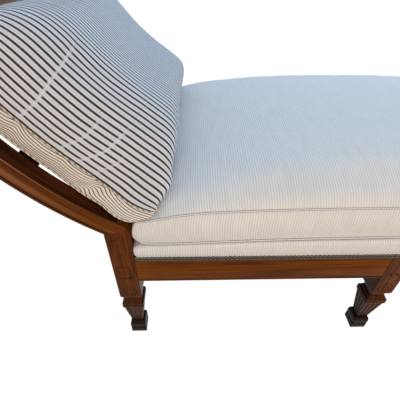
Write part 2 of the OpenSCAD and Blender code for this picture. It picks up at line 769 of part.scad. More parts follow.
// A welt along the edge of a cushion's panel, level w, with room between the two
module welt(grid, w, room, at) {
    nu = grid[0];
    nv = grid[1];
    count = 2 * (nu + nv);
    path = [for (k = [0:count - 1]) let (e = edge_step(k, nu, nv))
        at(line_place(e[0], nu), line_place(e[1], nv), w, -welt_r - room)];
    function ring(k) = let (
            t = path[(k + 1) % count] - path[(k + count - 1) % count],
            side = cross(t, [0, 0, 1]) / norm(cross(t, [0, 0, 1])),
            up = cross(t, side) / norm(t))
        [for (m = [0:welt_side_count - 1]) let (turn = 360 * m / welt_side_count)
            path[k] + welt_r * (cos(turn) * side + sin(turn) * up)];
    points = [for (k = [0:count - 1]) each ring(k)];
    function at_ring(k, m) = (k % count) * welt_side_count + m % welt_side_count;
    faces = [for (k = [0:count - 1], m = [0:welt_side_count - 1], half = [0, 1]) half == 0
        ? [at_ring(k, m), at_ring(k + 1, m), at_ring(k + 1, m + 1)]
        : [at_ring(k, m), at_ring(k + 1, m + 1), at_ring(k, m + 1)]];
    polyhedron(points, faces, convexity = 6);
}

// A strip that lies in the boxing at one end of a cushion, u, over the middle of its width.
// It reaches from inset g0 to g1 and half_h to each side of the boxing's middle
module boxing_strip(grid, u, half_h, g0, g1, margin, up, at) {
    nv = grid[1];
    j0 = ceil(nv / 4);
    count = nv - 2 * j0;
    function corner(j, side, g) = at(u, line_place(j0 + j, nv), 0, g) + side * half_h * up
        + [0, (j == 0 ? -1 : j == count ? 1 : 0) * margin, 0];
    points = [for (j = [0:count]) each [corner(j, -1, g0), corner(j, 1, g0), corner(j, 1, g1), corner(j, -1, g1)]];
    sides = [for (j = [0:count - 1], m = [0:3], half = [0, 1]) let (n = (m + 1) % 4) half == 0
        ? [4 * j + m, 4 * j + n, 4 * j + 4 + n] : [4 * j + m, 4 * j + 4 + n, 4 * j + 4 + m]];
    ends = [[0, 2, 1], [0, 3, 2], [4 * count, 4 * count + 1, 4 * count + 2], [4 * count, 4 * count + 2, 4 * count + 3]];
    polyhedron(points, concat(sides, ends), convexity = 4);
}

// How far a point is round the plan's edge: 0 inside and 1 at the seams
function seam_share(u, v) = 1 - (1 - abs(u) ^ 6) * (1 - abs(v) ^ 6);
function draw_in(other, draw, cut) = draw * (1 - other ^ 2) + cut * abs(other) ^ 14;

// A point of the seat cushion, which lies on the deck and is pressed down at its head end
seat_at = function (u, v, w, inset)
    let (bulge = w == 0 ? box_bulge : 0,
        half_l = (seat_x1 - seat_x0) / 2 - edge_inset - inset + bulge,
        half_w = half_depth - edge_inset - inset + bulge,
        x = (seat_x0 + seat_x1) / 2 + u * (half_l - draw_in(v, seat_draw, seat_corner_cut)),
        y = v * (half_w - draw_in(u, seat_draw, seat_corner_cut)),
        base = deck_top(x) + rest_gap,
        dip = seat_dip * exp(-((x - seat_x0) / dip_len) ^ 2),
        crown = seat_crown * (1 - abs(u) ^ 2.5) * sqrt(1 - abs(v) ^ 5),
        low = base + welt_r * seam_share(u, v) + max(0, inset),
        high = base + welt_r + seat_boxing - dip + crown - max(0, inset))
    [x, y, w < 0 ? low : w > 0 ? high : (low + high) / 2];

// A point of the back cushion, which lies on the slats and rests its lower end, u = 1, on the seat.
// The lower end is the fuller one, and its corners are pulled out level over the seat
back_at = function (u, v, w, inset)
    let (bulge = w == 0 ? box_bulge : 0,
        ear = back_ear * abs(v) ^ 8 * max(0, u) ^ 6,
        half_w = (back_w - back_flare * w) / 2 - edge_inset - inset + bulge,
        low = rest_gap + welt_r * seam_share(u, v) + ear_lift_share * ear + max(0, inset),
        full = 1 + back_slump_share * (u - back_full_share),
        ends = sqrt(1 - max(0, u) ^ 10) * (1 - max(0, -u) ^ 6) ^ 0.6,
        crown = back_crown * full * ends * (1 - v ^ 6) ^ 0.8,
        high = rest_gap + welt_r + ear_lift_share * ear + back_boxing + crown - max(0, inset),
        n = w < 0 ? low : w > 0 ? high : (low + high) / 2,
        trim = edge_inset + inset - bulge,
        skew = back_skew * (v + 1) / 2,
        reach = back_nose + back_lean_share * min(n, back_lean_h) + skew * (w + 1) / 2,
        lean = back_lean_share + (w < 0 ? (2 * box_bulge + skew) / back_boxing : 0),
        slant = min(0, inset) * (norm([1, lean]) - 1),
        s_low = trim + slant - reach - ear * cos(sweep_start_angle),
        s_high = back_len - trim,
        s = (s_low + s_high) / 2 - u * ((s_high - s_low) / 2 - draw_in(v, back_draw, 0)),
        a = sweep_start_angle + back_lead_angle + s / sweep_in_r * 180 / PI,
        r = sweep_in_r - n)
    [sweep_c.x - r * sin(a), v * (half_w - draw_in(u, back_draw, 0)), sweep_c.y - r * cos(a)];

back_end_a = sweep_start_angle + back_lead_angle + back_len / sweep_in_r * 180 / PI;
back_end_up = [sin(back_end_a), 0, cos(back_end_a)];

module seat_cushion_cover() color(cloth) placed() difference() {
    boxed_cushion(seat_line_counts, 0, seat_at);
    boxed_cushion(seat_line_counts, cover_t, seat_at);
    boxing_strip(seat_line_counts, -1, zip_half_h + zip_gap, -overrun, cover_t + seam_gap, zip_gap, [0, 0, 1], seat_at);
}
module seat_cushion_fill() color("ivory") placed() boxed_cushion(seat_line_counts, cover_t + fill_gap, seat_at);
module seat_welt_top() color(cloth) placed() welt(seat_line_counts, 1, seam_gap, seat_at);
module seat_welt_bottom() color(cloth) placed() welt(seat_line_counts, -1, seam_gap, seat_at);
module seat_zip() color("silver") placed()
    boxing_strip(seat_line_counts, -1, zip_half_h, -zip_proud, cover_t, 0, [0, 0, 1], seat_at);

module back_cushion_cover() color("lightgray") placed() difference() {
    boxed_cushion(back_line_counts, 0, back_at);
    boxed_cushion(back_line_counts, cover_t, back_at);
    boxing_strip(back_line_counts, -1, zip_half_h + zip_gap, -overrun, cover_t + seam_gap, zip_gap, back_end_up, back_at);
}
module back_cushion_fill() color("ivory") placed() boxed_cushion(back_line_counts, cover_t + fill_gap, back_at);
module back_welt_top() color("lightgray") placed() welt(back_line_counts, 1, back_seam_gap, back_at);
module back_welt_bottom() color("lightgray") placed() welt(back_line_counts, -1, back_seam_gap, back_at);
module back_zip() color("silver") placed()
    boxing_strip(back_line_counts, -1, zip_half_h, -zip_proud, cover_t, 0, back_end_up, back_at);

head_leg_front();
head_leg_rear();
mid_leg_front();
mid_leg_rear();
foot_leg_front();
foot_leg_rear();
front_rail_head();
front_rail_foot();
rear_rail_head();
rear_rail_foot();
head_cross_rail();
mid_cross_rail();
foot_cross_rail();
joint_pegs();
corner_blocks();
corner_block_screws();
head_stile_front();
head_stile_rear();
knee_dowels();
back_slat_low();
back_slat_mid();
back_slat_high();
crest_rail();
webbing_long();
webbing_cross();
hessian();
deck_pad();
deck_cover();
gimp_front();
gimp_rear();
gimp_foot();
dust_cover();
seat_cushion_cover();
seat_cushion_fill();
seat_welt_top();
seat_welt_bottom();
seat_zip();
back_cushion_cover();
back_cushion_fill();
back_welt_top();
back_welt_bottom();
back_zip();
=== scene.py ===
"""The looks of a single-ended recamier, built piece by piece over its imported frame.

Wood, stuffed deck, braid and two loose cushions are surfaces worked out from the part's own
measures, in millimetres from the head leg, and moved into the frame in metres.
"""

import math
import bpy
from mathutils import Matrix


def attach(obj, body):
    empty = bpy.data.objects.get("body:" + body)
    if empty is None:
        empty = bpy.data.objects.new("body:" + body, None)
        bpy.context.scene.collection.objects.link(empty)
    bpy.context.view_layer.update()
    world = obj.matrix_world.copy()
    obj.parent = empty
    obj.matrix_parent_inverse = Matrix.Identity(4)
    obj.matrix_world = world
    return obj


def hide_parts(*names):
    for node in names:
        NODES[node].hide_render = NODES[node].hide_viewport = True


bl_info = {
    "name": "Recamier",
    "version": (1, 0, 0),
    "blender": (4, 5, 0),
    "location": "View3D > Sidebar > Recamier",
    "description": "Builds a recamier with turned legs, a scrolled head end and two loose cushions",
    "category": "Add Mesh",
}

import bmesh
import bpy
import numpy as np
from mathutils import Matrix, Vector

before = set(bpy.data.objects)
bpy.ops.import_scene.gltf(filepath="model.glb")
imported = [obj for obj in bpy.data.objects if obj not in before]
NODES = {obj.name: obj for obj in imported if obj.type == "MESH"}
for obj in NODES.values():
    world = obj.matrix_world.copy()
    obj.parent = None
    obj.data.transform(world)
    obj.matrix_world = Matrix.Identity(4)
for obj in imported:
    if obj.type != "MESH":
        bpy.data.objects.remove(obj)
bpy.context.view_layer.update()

# Measures of the part, in mm: legs, rails and head end
DEPTH, PITCH, RAIL_LOW, RAIL_H, RAIL_T = 760.0, 636.0, 243.0, 86.0, 30.0
LEG_W, FOOT_W, FOOT_H, FOOT_TOP, SHAFT_LOW_W, SHAFT_TOP_W = 54.0, 42.0, 35.0, 15.0, 29.0, 50.0
FOOT_LINE = 24.0
COLLAR_LOW, COLLAR_H, COLLAR_SLOPE, NECK_W, NECK_H, LOBE_R = 133.0, 17.0, 11.0, 38.0, 9.0, 18.0
GRAIN_SHIFT = 90.0
FLUTE_R, FLUTE_STEP, FLUTE_GAP, LINE_W, LINE_INSET = 2.6, 0.27, 5.0, 2.4, 7.0
DISH_R, DISH_W, DOME_R, EYE_DOME_R = 12.3, 3.4, 6.6, 9.6
PEG_SINK, PANEL_SIDE, PANEL_DROP = 0.9, 15.0, 14.0
ROUNDEL_R, BOSS_R, BEAD_H, REBATE_H, REBATE_D = 18.0, 9.0, 8.0, 14.0, 3.6
STILE_T, STILE_D, SWEEP_R, SWEEP_A0, SWEEP_A1 = 40.0, 44.0, 700.0, 33.7, 68.0
SCROLL_R, SCROLL_TURN, KNEE_R, EYE_BOSS_R, STILE_BARREL = 60.0, 110.0, 50.0, 12.0, 1.8
SLAT_W, SLAT_T, SLAT_A0, SLAT_STEP, SLAT_TENON, SLAT_EASE = 39.0, 14.0, 5.7, 9.8, 15.0, 3.2
CREST_T, CREST_INSET, CREST_LEAD, CREST_TENON, CREST_MID_R = 26.0, 2.0, 8.0, 14.0, 70.0
TENON_T, TENON_SHOULDER, TENON_LEN = 12.0, 6.0, 24.0
PEG_INSET, PEG_RISE, PEG_R = 19.0, 14.0, 3.4
# Deck and cushions
DECK_EDGE, DECK_CROWN, DECK_SHARE, DECK_STEP, DECK_ROUND = 31.0, 14.0, 3.0, 7, 9.0
DECK_FLUSH, DECK_SWELL, COVER_IN, COVER_OUT, COVER_LOW = -1.4, 3.6, 5.6, 1.9, 0.4
PAD_LOW, PAD_SUNK, PUCKER, PUCKER_H, PUCKER_RUNS = 5.0, 3.0, 1.1, 7.0, (11.0, 6.3)
WEB_W, WEB_T, WEB_LONG, WEB_CROSS, HESSIAN_T = 50.0, 1.4, 7, 6, 1.0
WEB_INSET, WEB_SLACK, DUST_T, DUST_INSET, LEG_ROOM, GIMP_T = 6.6, 0.3, 0.8, 8.0, 27.2, 1.6
BOXING, CROWN, DIP, DIP_LEN, WELT_R, REST = 80.0, 64.0, 18.0, 85.0, 3.4, 0.5
EDGE_INSET, BULGE, SEAT_DRAW, CORNER_CUT = 7.1, 5.0, 6.0, 4.0
BACK_W, BACK_LEN, BACK_BOXING, BACK_CROWN, BACK_EAR, BACK_SKEW = 716.0, 410.0, 44.0, 152.0, 22.0, 10.0
BACK_LEAD, BACK_NOSE, BACK_LEAN, BACK_LEAN_H, BACK_FLARE = 0.85, 23.0, 0.78, 95.0, 14.0
BACK_SLUMP, BACK_FULL, EAR_LIFT, BACK_DRAW = 0.1, 0.7, 1.26, 8.0
BACK_TUCK, TIP_LOW, TIP_HIGH, TIP_WIDE, TIP_SQUARE = 16.0, 18.0, 26.0, 14.0, 10.0
TIP_START, TIP_POWER, SAG, SAG_U, SAG_W, SAG_POWER = 0.7, 2.6, 10.0, 0.744, 0.233, 1.9
NOSE, NOSE_OUT, NOSE_POWER, NOSE_V, NOSE_W = 7.0, 10.4, 7.6, 0.926, 0.072
COVER_T, FILL_GAP, KNEE_DROP, PIPE_R, PIPE_SINK = 1.8, 0.5, 39.0, 1.9, 0.7
SEAT_PRESS, SEAT_ROUND, SEAT_SPREAD = 7.0, 5.0, 3.0
# Powers and shares of the cushions' curves
EDGE_POWER, CORNER_POWER, SEAT_POWER_U, SEAT_POWER_V, PRESS_POWER = 6, 14, 2.5, 5, 8
EAR_POWER, LOW_END_POWER, HIGH_END_POWER, HIGH_END_ROUND, SIDE_ROUND = 8, 10, 6, 0.6, 0.8
TIP_FROM, TIP_SHIFT, TUCK_FROM, TUCK_TO = 0.72, 0.1, 0.25, 0.8

HALF_LEG, HALF_DEPTH = LEG_W / 2, DEPTH / 2
RAIL_TOP = RAIL_LOW + RAIL_H
REBATE_LOW = RAIL_TOP - REBATE_H
GIMP_LOW = REBATE_LOW + 0.2
BED = RAIL_TOP + 2 * WEB_T + HESSIAN_T
KNEE_H = RAIL_TOP + DECK_EDGE + BOXING - KNEE_DROP
# Finish of the wood, in m. A painted highlight along the stiles stands in for the window's
# reflection: its middle from the upper edge of their face, its half width, a painted highlight along
# that edge, where the band begins past the knee, and the dark line painted along the incised line
# below it with its soft edges
HIGHLIGHT_AT, HIGHLIGHT_W, EDGE_HIGHLIGHT, HIGHLIGHT_START = 0.022, 0.012, (0.003, 0.001), (0.03, 0.25)
INCISED_DARK_AT, INCISED_DARK_W = 0.0343, (0.0022, 0.001)
# Heights between which the legs darken and the feet blacken, and by how much
LEG_DARKENS, FOOT_BLACKENS = (0.26, 0.12, 0.62), (0.075, 0.05, 0.85)
# Half the soft edge of a stripe, in m
STRIPE_SOFT = 0.0007
# Directions, and how much thinner than its solid a sheet is drawn
X, Y, UP = (1, 0, 0), (0, 1, 0), (0, 0, 1)
SHEET_SHARE = 0.9
FOOT_END = 2 * PITCH + HALF_LEG
LOBE_X = HALF_LEG - LOBE_R
LOBE_A = -math.acos((NECK_W / 2 - LOBE_X) / LOBE_R)
NECK_LOW = COLLAR_LOW + COLLAR_H + COLLAR_SLOPE
LOBE_Z = NECK_LOW + NECK_H - LOBE_R * math.sin(LOBE_A)
ROUNDEL_Z = LOBE_Z + ROUNDEL_R
SWEEP_IN, SWEEP_OUT = SWEEP_R - STILE_D / 2, SWEEP_R + STILE_D / 2
A0, A1 = math.radians(SWEEP_A0), math.radians(SWEEP_A1)
SWEEP_C = np.array([-HALF_LEG + SWEEP_OUT * math.sin(A0), KNEE_H + SWEEP_OUT * math.cos(A0)])
SCROLL_C = SWEEP_C - (SWEEP_R + SCROLL_R) * np.array([math.sin(A1), math.cos(A1)])
KNEE_OUT = np.array([-HALF_LEG, KNEE_H])
KNEE_IN = np.array([HALF_LEG, SWEEP_C[1] - math.sqrt(SWEEP_IN**2 - (SWEEP_C[0] - HALF_LEG) ** 2)])
KNEE_C = np.array(
    [
        HALF_LEG - KNEE_R,
        SWEEP_C[1] - math.sqrt((SWEEP_IN + KNEE_R) ** 2 - (SWEEP_C[0] - HALF_LEG + KNEE_R) ** 2),
    ]
)
MITRE = math.atan2(KNEE_IN[1] - KNEE_OUT[1], KNEE_IN[0] - KNEE_OUT[0])
ROW_MID = (SCROLL_C[0] - SCROLL_R - STILE_D / 2 + FOOT_END) / 2
PANELS_LOW, PANELS_TOP, PANELS_HIGH = RAIL_LOW + 11, RAIL_LOW + 54, RAIL_LOW + 94
MITRE_FROM = RAIL_LOW + 90
DECK_LEFT, DECK_TONGUE, DECK_RIGHT = HALF_LEG + 0.4, 3 - HALF_LEG, FOOT_END - 0.3
DECK_FRONT, DECK_NOTCH = HALF_DEPTH - 0.3, HALF_DEPTH - STILE_T - 0.4
SPINE_INSET = 60.0
SEAT_X0, SEAT_X1 = HALF_LEG + 2, FOOT_END - 2
SEED = 11
# The covers' cloth while it is blown up, for so many frames, and its limits in m
CLOTH = {
    "quality": 5,
    "mass": 0.3,
    "tension_stiffness": 15,
    "compression_stiffness": 15,
    "shear_stiffness": 4,
    "bending_stiffness": 0.35,
    "air_damping": 2,
    "use_pressure": True,
}
FRAMES, WRINKLE, MOST_ACROSS = 20, 0.0004, 0.004
# The camera, solved from the photo's parallel edges: its place in m, lens in mm and three axes
CAMERA_AT, LENS = (-0.286969, -0.8215, 0.853), 27.45
CAMERA_RIGHT = (0.99968627, -0.02326631, 0.00927565)
CAMERA_DOWN = (-0.00752822, -0.63230947, -0.77467933)
CAMERA_AHEAD = (0.02388901, 0.77436646, -0.63228625)


def linear(code):
    """A colour written as sRGB hex, as linear red, green, blue and alpha."""
    c = [int(code[i : i + 2], 16) / 255 for i in (1, 3, 5)]
    return tuple(x / 12.92 if x <= 0.04045 else ((x + 0.055) / 1.055) ** 2.4 for x in c) + (1.0,)


def colour(label, hint, code):
    return bpy.props.FloatVectorProperty(
        name=label, description=hint, default=linear(code), size=4, subtype="COLOR", min=0, max=1
    )


def length(label, hint, value, low=0.0, high=0.1):
    return bpy.props.FloatProperty(
        name=label, description=hint, default=value, min=low, max=high, unit="LENGTH", precision=4
    )


class RecamierWood(bpy.types.PropertyGroup):
    ease: length("Edge ease", "Radius worn on the edges of the legs and rails", 0.0018, 0, 0.004)
    carving: length("Carving depth", "Depth of the incised lines and the roundels", 0.0016, 0, 0.003)
    ground: colour("Wood", "Body colour of the polished mahogany", "#582803")
    light: colour("Wood, light grain", "Light streaks and rubbed edges", "#7c450b")
    dark: colour("Wood, dark grain", "Pores, and polish gathered in the carving", "#1d0a03")
    # Painted shade: the sides and backs of the legs and the stiles' top faces take this darker colour for the
    # shade on them
    shade: colour("Wood, shaded sides", "Sides and inner faces, where the polish has not faded", "#1d0b03")
    foot: colour("Feet", "Blackened feet", "#120a07")
    # Painted highlight: a pale band along the stiles, standing in for the window's reflection
    faded: colour("Wood, faded", "A band along the stiles, bleached by the light", "#96623d")
    # Painted shade: the slats take a near-black colour for the shade under the cushion
    slat: colour("Slats", "Stained slats and hidden rails", "#241007")
    block: colour("Blocks", "Pale beech of the corner blocks and dowels", "#c39a63")


class RecamierCloth(bpy.types.PropertyGroup):
    rib: length("Rib pitch", "Distance between the ribs of the cotton", 0.0054, 0.003, 0.02)
    stripe_pitch: length("Stripe pitch", "Distance between the stripes of the ticking", 0.012, 0.004, 0.05)
    stripe_w: length("Stripe width", "Width of a dark stripe", 0.0042, 0.001, 0.03)
    slack: bpy.props.FloatProperty(
        name="Slack",
        description="How much larger the covers are cut than their filling",
        default=0.012,
        min=0,
        max=0.06,
    )
    cotton: colour("Cotton", "Ribbed cotton of the deck and the seat cushion", "#ecece9")
    cotton_deep: colour("Cotton, valleys", "Between the ribs of the cotton", "#d6d6d3")
    ticking: colour("Ticking ground", "Pale ground of the back cushion", "#dde4ee")
    stripe: colour("Ticking stripe", "Dark stripes of the back cushion", "#3a2c20")
    boxing: colour("Boxing ground", "Cream ground of the gathered boxing", "#fbf4e9")
    stripe_faded: colour("Boxing stripe", "Stripes of the gathered boxing", "#6b5d50")
    lining: colour("Lining", "Black lining under the seat", "#1b1a1a")


class RecamierTrim(bpy.types.PropertyGroup):
    period: length("Braid repeat", "Length of one diamond of the braid", 0.0096, 0.004, 0.03)
    thread_r: length("Thread radius", "Radius of the pale threads of the braid", 0.0009, 0.0003, 0.002)
    braid: colour("Braid", "Dark ground of the braid", "#2b1a10")
    thread: colour("Braid thread", "Pale diamonds of the braid", "#cdb893")
    jute: colour("Jute", "Webbing and hessian", "#a58758")


def to_row(points):
    """Bench millimetres to the frame's metres."""
    return (np.asarray(points, float) - np.array([ROW_MID, 0, 0])) * 0.001


def ramp01(x, low, high):
    """0 below low, 1 above high, with a smooth step between."""
    t = np.clip((x - low) / (high - low), 0, 1)
    return t * t * (3 - 2 * t)


def groove(distance, half):
    """1 along the middle of an incised line, falling in a round bottom to 0 at half its width."""
    return np.clip(1.5 * (1 - (distance / half) ** 2), 0, 1)


def grid(points, uv):
    """One patch of a piece: points over two parameters, and where each lies on the flat material."""
    points, uv = np.asarray(points, float), np.asarray(uv, float)
    return points, np.broadcast_to(uv, points.shape[:2] + (2,))


def arc_length(points, axis=0):
    """Length along a grid's lines, summed from point to point."""
    step = np.linalg.norm(np.diff(points, axis=axis), axis=-1)
    zero = np.zeros_like(np.take(step, [0], axis=axis))
    return np.concatenate([zero, np.cumsum(step, axis=axis)], axis=axis)


def make_piece(name, patches, material, sharp=35.0, closed=True):
    """Joins patches, given in bench mm and metres of cloth or grain, into one object at the origin."""
    verts, faces, uvs, finishes, start = [], [], [], [], 0
    for points, uv, *finish in patches:
        n, m = points.shape[:2]
        index = np.arange(n * m).reshape(n, m) + start
        corners = (index[:-1, :-1], index[1:, :-1], index[1:, 1:], index[:-1, 1:])
        quads = np.stack(corners, -1).reshape(-1, 4)
        verts.append(to_row(points.reshape(-1, 3)))
        faces.append(quads)
        uvs.append(uv.reshape(-1, 2))
        finishes.append(np.full(len(quads), finish[0] if finish else 0))
        start += n * m
    verts, faces, uvs = np.concatenate(verts), np.concatenate(faces), np.concatenate(uvs)
    mesh = bpy.data.meshes.new(name)
    mesh.vertices.add(len(verts))
    mesh.vertices.foreach_set("co", verts.ravel())
    mesh.loops.add(faces.size)
    mesh.loops.foreach_set("vertex_index", faces.ravel())
    mesh.polygons.add(len(faces))
    mesh.polygons.foreach_set("loop_start", np.arange(0, faces.size, 4))
    for each in material if isinstance(material, tuple) else (material,):
        mesh.materials.append(each)
    mesh.polygons.foreach_set("material_index", np.concatenate(finishes))
    layer = mesh.uv_layers.new(name="Flat")
    layer.data.foreach_set("uv", uvs[faces.ravel()].ravel())
    mesh.update(calc_edges=True)
    bm = bmesh.new()
    bm.from_mesh(mesh)
    bmesh.ops.remove_doubles(bm, verts=bm.verts, dist=2e-5)
    bmesh.ops.dissolve_degenerate(bm, edges=bm.edges, dist=1e-6)
    if closed:
        bmesh.ops.recalc_face_normals(bm, faces=bm.faces)
    bm.to_mesh(mesh)
    bm.free()
    mesh.shade_smooth()
    if sharp < 180:
        mesh.set_sharp_from_angle(angle=math.radians(sharp))
    piece = bpy.data.objects.new(name, mesh)
    bpy.context.scene.collection.objects.link(piece)
    return piece


def stands_for(piece, body, slot, *nodes):
    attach(piece, body)
    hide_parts(*nodes)


def dressed(name, patches, finish, sharp, body, slot, node):
    """A piece that rides on a body and stands for a solid."""
    piece = make_piece(name, patches, finish, sharp)
    stands_for(piece, body, slot, node)


def both_sides(patches, name, node, finish, sharp):
    """A piece of show wood at the front, and its mirror image at the rear."""
    for end, side in (("front", 1), ("rear", -1)):
        these = [(points * np.array([1, side, 1]), *rest) for points, *rest in patches]
        dressed(name.format(end), these, finish, sharp, "frame", "show_wood", node.format(end))


def tube(path, radius, sides=10, loop=True, squash=1.0):
    """A round cord: a circle carried along a path, square to it and upright."""
    path = np.asarray(path, float)
    if loop:
        tangent = np.roll(path, -1, 0) - np.roll(path, 1, 0)
    else:
        tangent = np.gradient(path, axis=0)
    tangent /= np.linalg.norm(tangent, axis=1, keepdims=True)
    side = np.cross(tangent, [0, 0, 1.0])
    side /= np.maximum(np.linalg.norm(side, axis=1, keepdims=True), 1e-9)
    up = np.cross(side, tangent)
    if loop:
        path, side, up = ring(path), ring(side), ring(up)
    turn = np.linspace(0, 2 * np.pi, sides + 1)
    points = (
        path[:, None]
        + radius * np.cos(turn)[None, :, None] * side[:, None]
        + radius * squash * np.sin(turn)[None, :, None] * up[:, None]
    )
    return grid(points, flat_mm(arc_length(path)[:, None], (turn * radius)[None]))


def rectangle(x0, x1, y0, y1):
    return [(x0, y0), (x1, y0), (x1, y1), (x0, y1)]


def ring(points):
    """A closed outline with its first point again at its end."""
    return np.concatenate([points, points[:1]])


def closed_ends(points):
    """Fans that close the first and the last row of a patch to their middles."""
    share = np.array([1.0, 0.0])[:, None, None]
    return [grid(row.mean(0) + share * (row - row.mean(0)), (0, 0)) for row in (points[0], points[-1])]


def points_of(*axes):
    """Points from their coordinates, which are broadcast against each other."""
    return np.stack(np.broadcast_arrays(*axes), -1)


def flat_mm(*axes):
    """Places on the flat cloth or grain in metres, from millimetres along its two axes."""
    return points_of(*axes) * 0.001


def bar(outline, start, end, across, up, along=0.0):
    """A straight bar: an outline carried from start to end, with both ends closed to its middle."""
    outline = ring(np.asarray(outline, float))
    flat = outline[:, :1] * np.asarray(across) + outline[:, 1:] * np.asarray(up)
    reach = np.subtract(end, start)
    size = np.linalg.norm(reach)
    steps = np.linspace(0, 1, max(2, int(size / 40)))[:, None]
    rows = np.asarray(start) + steps * reach
    around = arc_length(outline)[None] * 0.001
    walls = points_of(steps * size * 0.001 + along, around)
    middle, share = flat.mean(0), np.array([1.0, 0.0])[:, None, None]
    fan, grain = middle + share * (flat - middle), outline[None, :, ::-1] * 0.001
    caps = [grid(row + fan, grain) for row in (rows[0], rows[-1])]
    return [grid(rows[:, None] + flat[None], walls), *caps]


def eased(outline, radius, steps=4):
    """Rounds each corner of a closed outline with an arc between its two tangent points."""
    p = np.asarray(outline, float)
    before, after = np.roll(p, 1, 0) - p, np.roll(p, -1, 0) - p
    lb, la = np.linalg.norm(before, axis=1, keepdims=True), np.linalg.norm(after, axis=1, keepdims=True)
    radius = np.broadcast_to(radius, (len(p),))[:, None]
    reach = np.minimum(radius, 0.45 * np.minimum(lb, la))
    a, b = p + before / lb * reach, p + after / la * reach
    t = np.linspace(0, 1, steps + 1)[None, :, None]
    curve = (1 - t) ** 2 * a[:, None] + 2 * t * (1 - t) * p[:, None] + t**2 * b[:, None]
    return curve.reshape(-1, 2)


# Materials


def add(tree, kind, settings=(), links=()):
    """Adds a node, gives it its settings, and sets or links its inputs."""
    node = tree.nodes.new(kind)
    for key, value in dict(settings).items():
        setattr(node, key, value)
    for key, value in dict(links).items():
        if isinstance(value, bpy.types.NodeSocket):
            tree.links.new(value, node.inputs[key])
        else:
            node.inputs[key].default_value = value
    return node


def new_material(name):
    """An empty material and its node tree."""
    material = bpy.data.materials.new(name)
    material.use_nodes = True
    material.node_tree.nodes.clear()
    return material, material.node_tree


def new_finish(name):
    """An empty material, its tree, its place on the flat cloth or grain and its place in the frame."""
    material, tree = new_material(name)
    coords = add(tree, "ShaderNodeTexCoord").outputs
    return material, tree, coords["UV"], coords["Object"]


def shaded(tree, body, rough, bump, **more):
    """A surface of one colour, roughness and bump, which is a strength, a depth in m and a height.
    Other inputs of the shader follow by name, with an underscore for each space."""
    strength, depth, height = bump
    normal = add(tree, "ShaderNodeBump", links={"Strength": strength, "Distance": depth, "Height": height})
    links = {"Base Color": body, "Roughness": rough, "Normal": normal.outputs[0]}
    links.update((key.replace("_", " "), value) for key, value in more.items())
    shader = add(tree, "ShaderNodeBsdfPrincipled", links=links)
    add(tree, "ShaderNodeOutputMaterial", links={"Surface": shader.outputs[0]})


def parted(tree, source):
    return add(tree, "ShaderNodeSeparateXYZ", links={0: source}).outputs


def blend_colours(tree, factor, a, b):
    return add(tree, "ShaderNodeMix", {"data_type": "RGBA"}, {0: factor, 6: a, 7: b}).outputs[2]


def maths(tree, operation, *values):
    return add(tree, "ShaderNodeMath", {"operation": operation}, dict(enumerate(values))).outputs[0]


def smooth_between(tree, value, low, high, to_low=0.0, to_high=1.0):
    return add(
        tree,
        "ShaderNodeMapRange",
        {"interpolation_type": "SMOOTHSTEP"},
        {"Value": value, "From Min": low, "From Max": high, "To Min": to_low, "To Max": to_high},
    ).outputs[0]


def stretched_noise(tree, source, scale, detail=3.0, rough=0.55, distort=0.0):
    """Noise over coordinates that are first scaled unevenly, as grain and threads are."""
    place = add(tree, "ShaderNodeMapping", links={"Vector": source, "Scale": scale}).outputs[0]
    return add(
        tree,
        "ShaderNodeTexNoise",
        links={"Vector": place, "Scale": 1.0, "Detail": detail, "Roughness": rough, "Distortion": distort},
    ).outputs[0]


def tinted(tree, body, tone, source, low, high, most=1.0):
    """Turns body to tone, smoothly and at most by the share most, as source goes from low to high."""
    return blend_colours(tree, smooth_between(tree, source, low, high, 0.0, most), body, tone)


def away_from(tree, value, middle):
    return maths(tree, "ABSOLUTE", maths(tree, "SUBTRACT", value, middle))


def polished_wood(name, ground, light, dark, foot=None, gloss=0.3, flat=True, faded=None):
    """Old mahogany or beech under wax or french polish: a close, even shine that follows long
    grain streaks about 3 mm wide with dark pores 0.4 mm across, drawn 0.8 mm so that they show."""
    material, tree, uv, place = new_finish(name)
    source = uv if flat else place
    streak = stretched_noise(tree, source, (5.0, 320.0, 320.0), 4.0, 0.6, 0.6)
    figure = stretched_noise(tree, source, (2.2, 34.0, 34.0), 3.0, 0.55, 1.2)
    pores = stretched_noise(tree, source, (45.0, 1250.0, 1250.0), 2.0, 0.7)
    body = tinted(tree, ground, light, streak, 0.34, 0.68)
    body = tinted(tree, body, dark, figure, 0.56, 0.3, 0.6)
    pore = smooth_between(tree, pores, 0.6, 0.72, 0.0, 0.75)
    body = blend_colours(tree, pore, body, dark)
    hollow = add(tree, "ShaderNodeNewGeometry").outputs["Pointiness"]
    body = tinted(tree, body, dark, hollow, 0.49, 0.43, 0.85)
    body = tinted(tree, body, light, hollow, 0.52, 0.6, 0.45)
    # Painted highlight: a pale band along the stiles' face and a pale line along its upper edge stand in for
    # the window's reflection; a dark line is then painted along the incised line
    if faded:
        along, across, _ = parted(tree, uv)
        band = smooth_between(tree, away_from(tree, across, HIGHLIGHT_AT), HIGHLIGHT_W, 0.0, 0.0, 0.8)
        rubbed = smooth_between(tree, across, *EDGE_HIGHLIGHT, 0.0, 0.9)
        begun = smooth_between(tree, along, *HIGHLIGHT_START, 0.1, 1.0)
        pale = maths(tree, "MULTIPLY", maths(tree, "MAXIMUM", band, rubbed), begun)
        body = blend_colours(tree, pale, body, faded)
        body = tinted(tree, body, dark, away_from(tree, across, INCISED_DARK_AT), *INCISED_DARK_W, 0.85)
    if foot:
        height = parted(tree, place)[2]
        body = tinted(tree, body, dark, height, *LEG_DARKENS)
        body = tinted(tree, body, foot, height, *FOOT_BLACKENS)
    rough = smooth_between(tree, streak, 0.2, 0.8, gloss - 0.05, gloss + 0.12)
    bump = (0.25, 0.0003, maths(tree, "SUBTRACT", streak, pore))
    shaded(tree, body, rough, bump, IOR=1.5, Specular_IOR_Level=0.05)
    return material


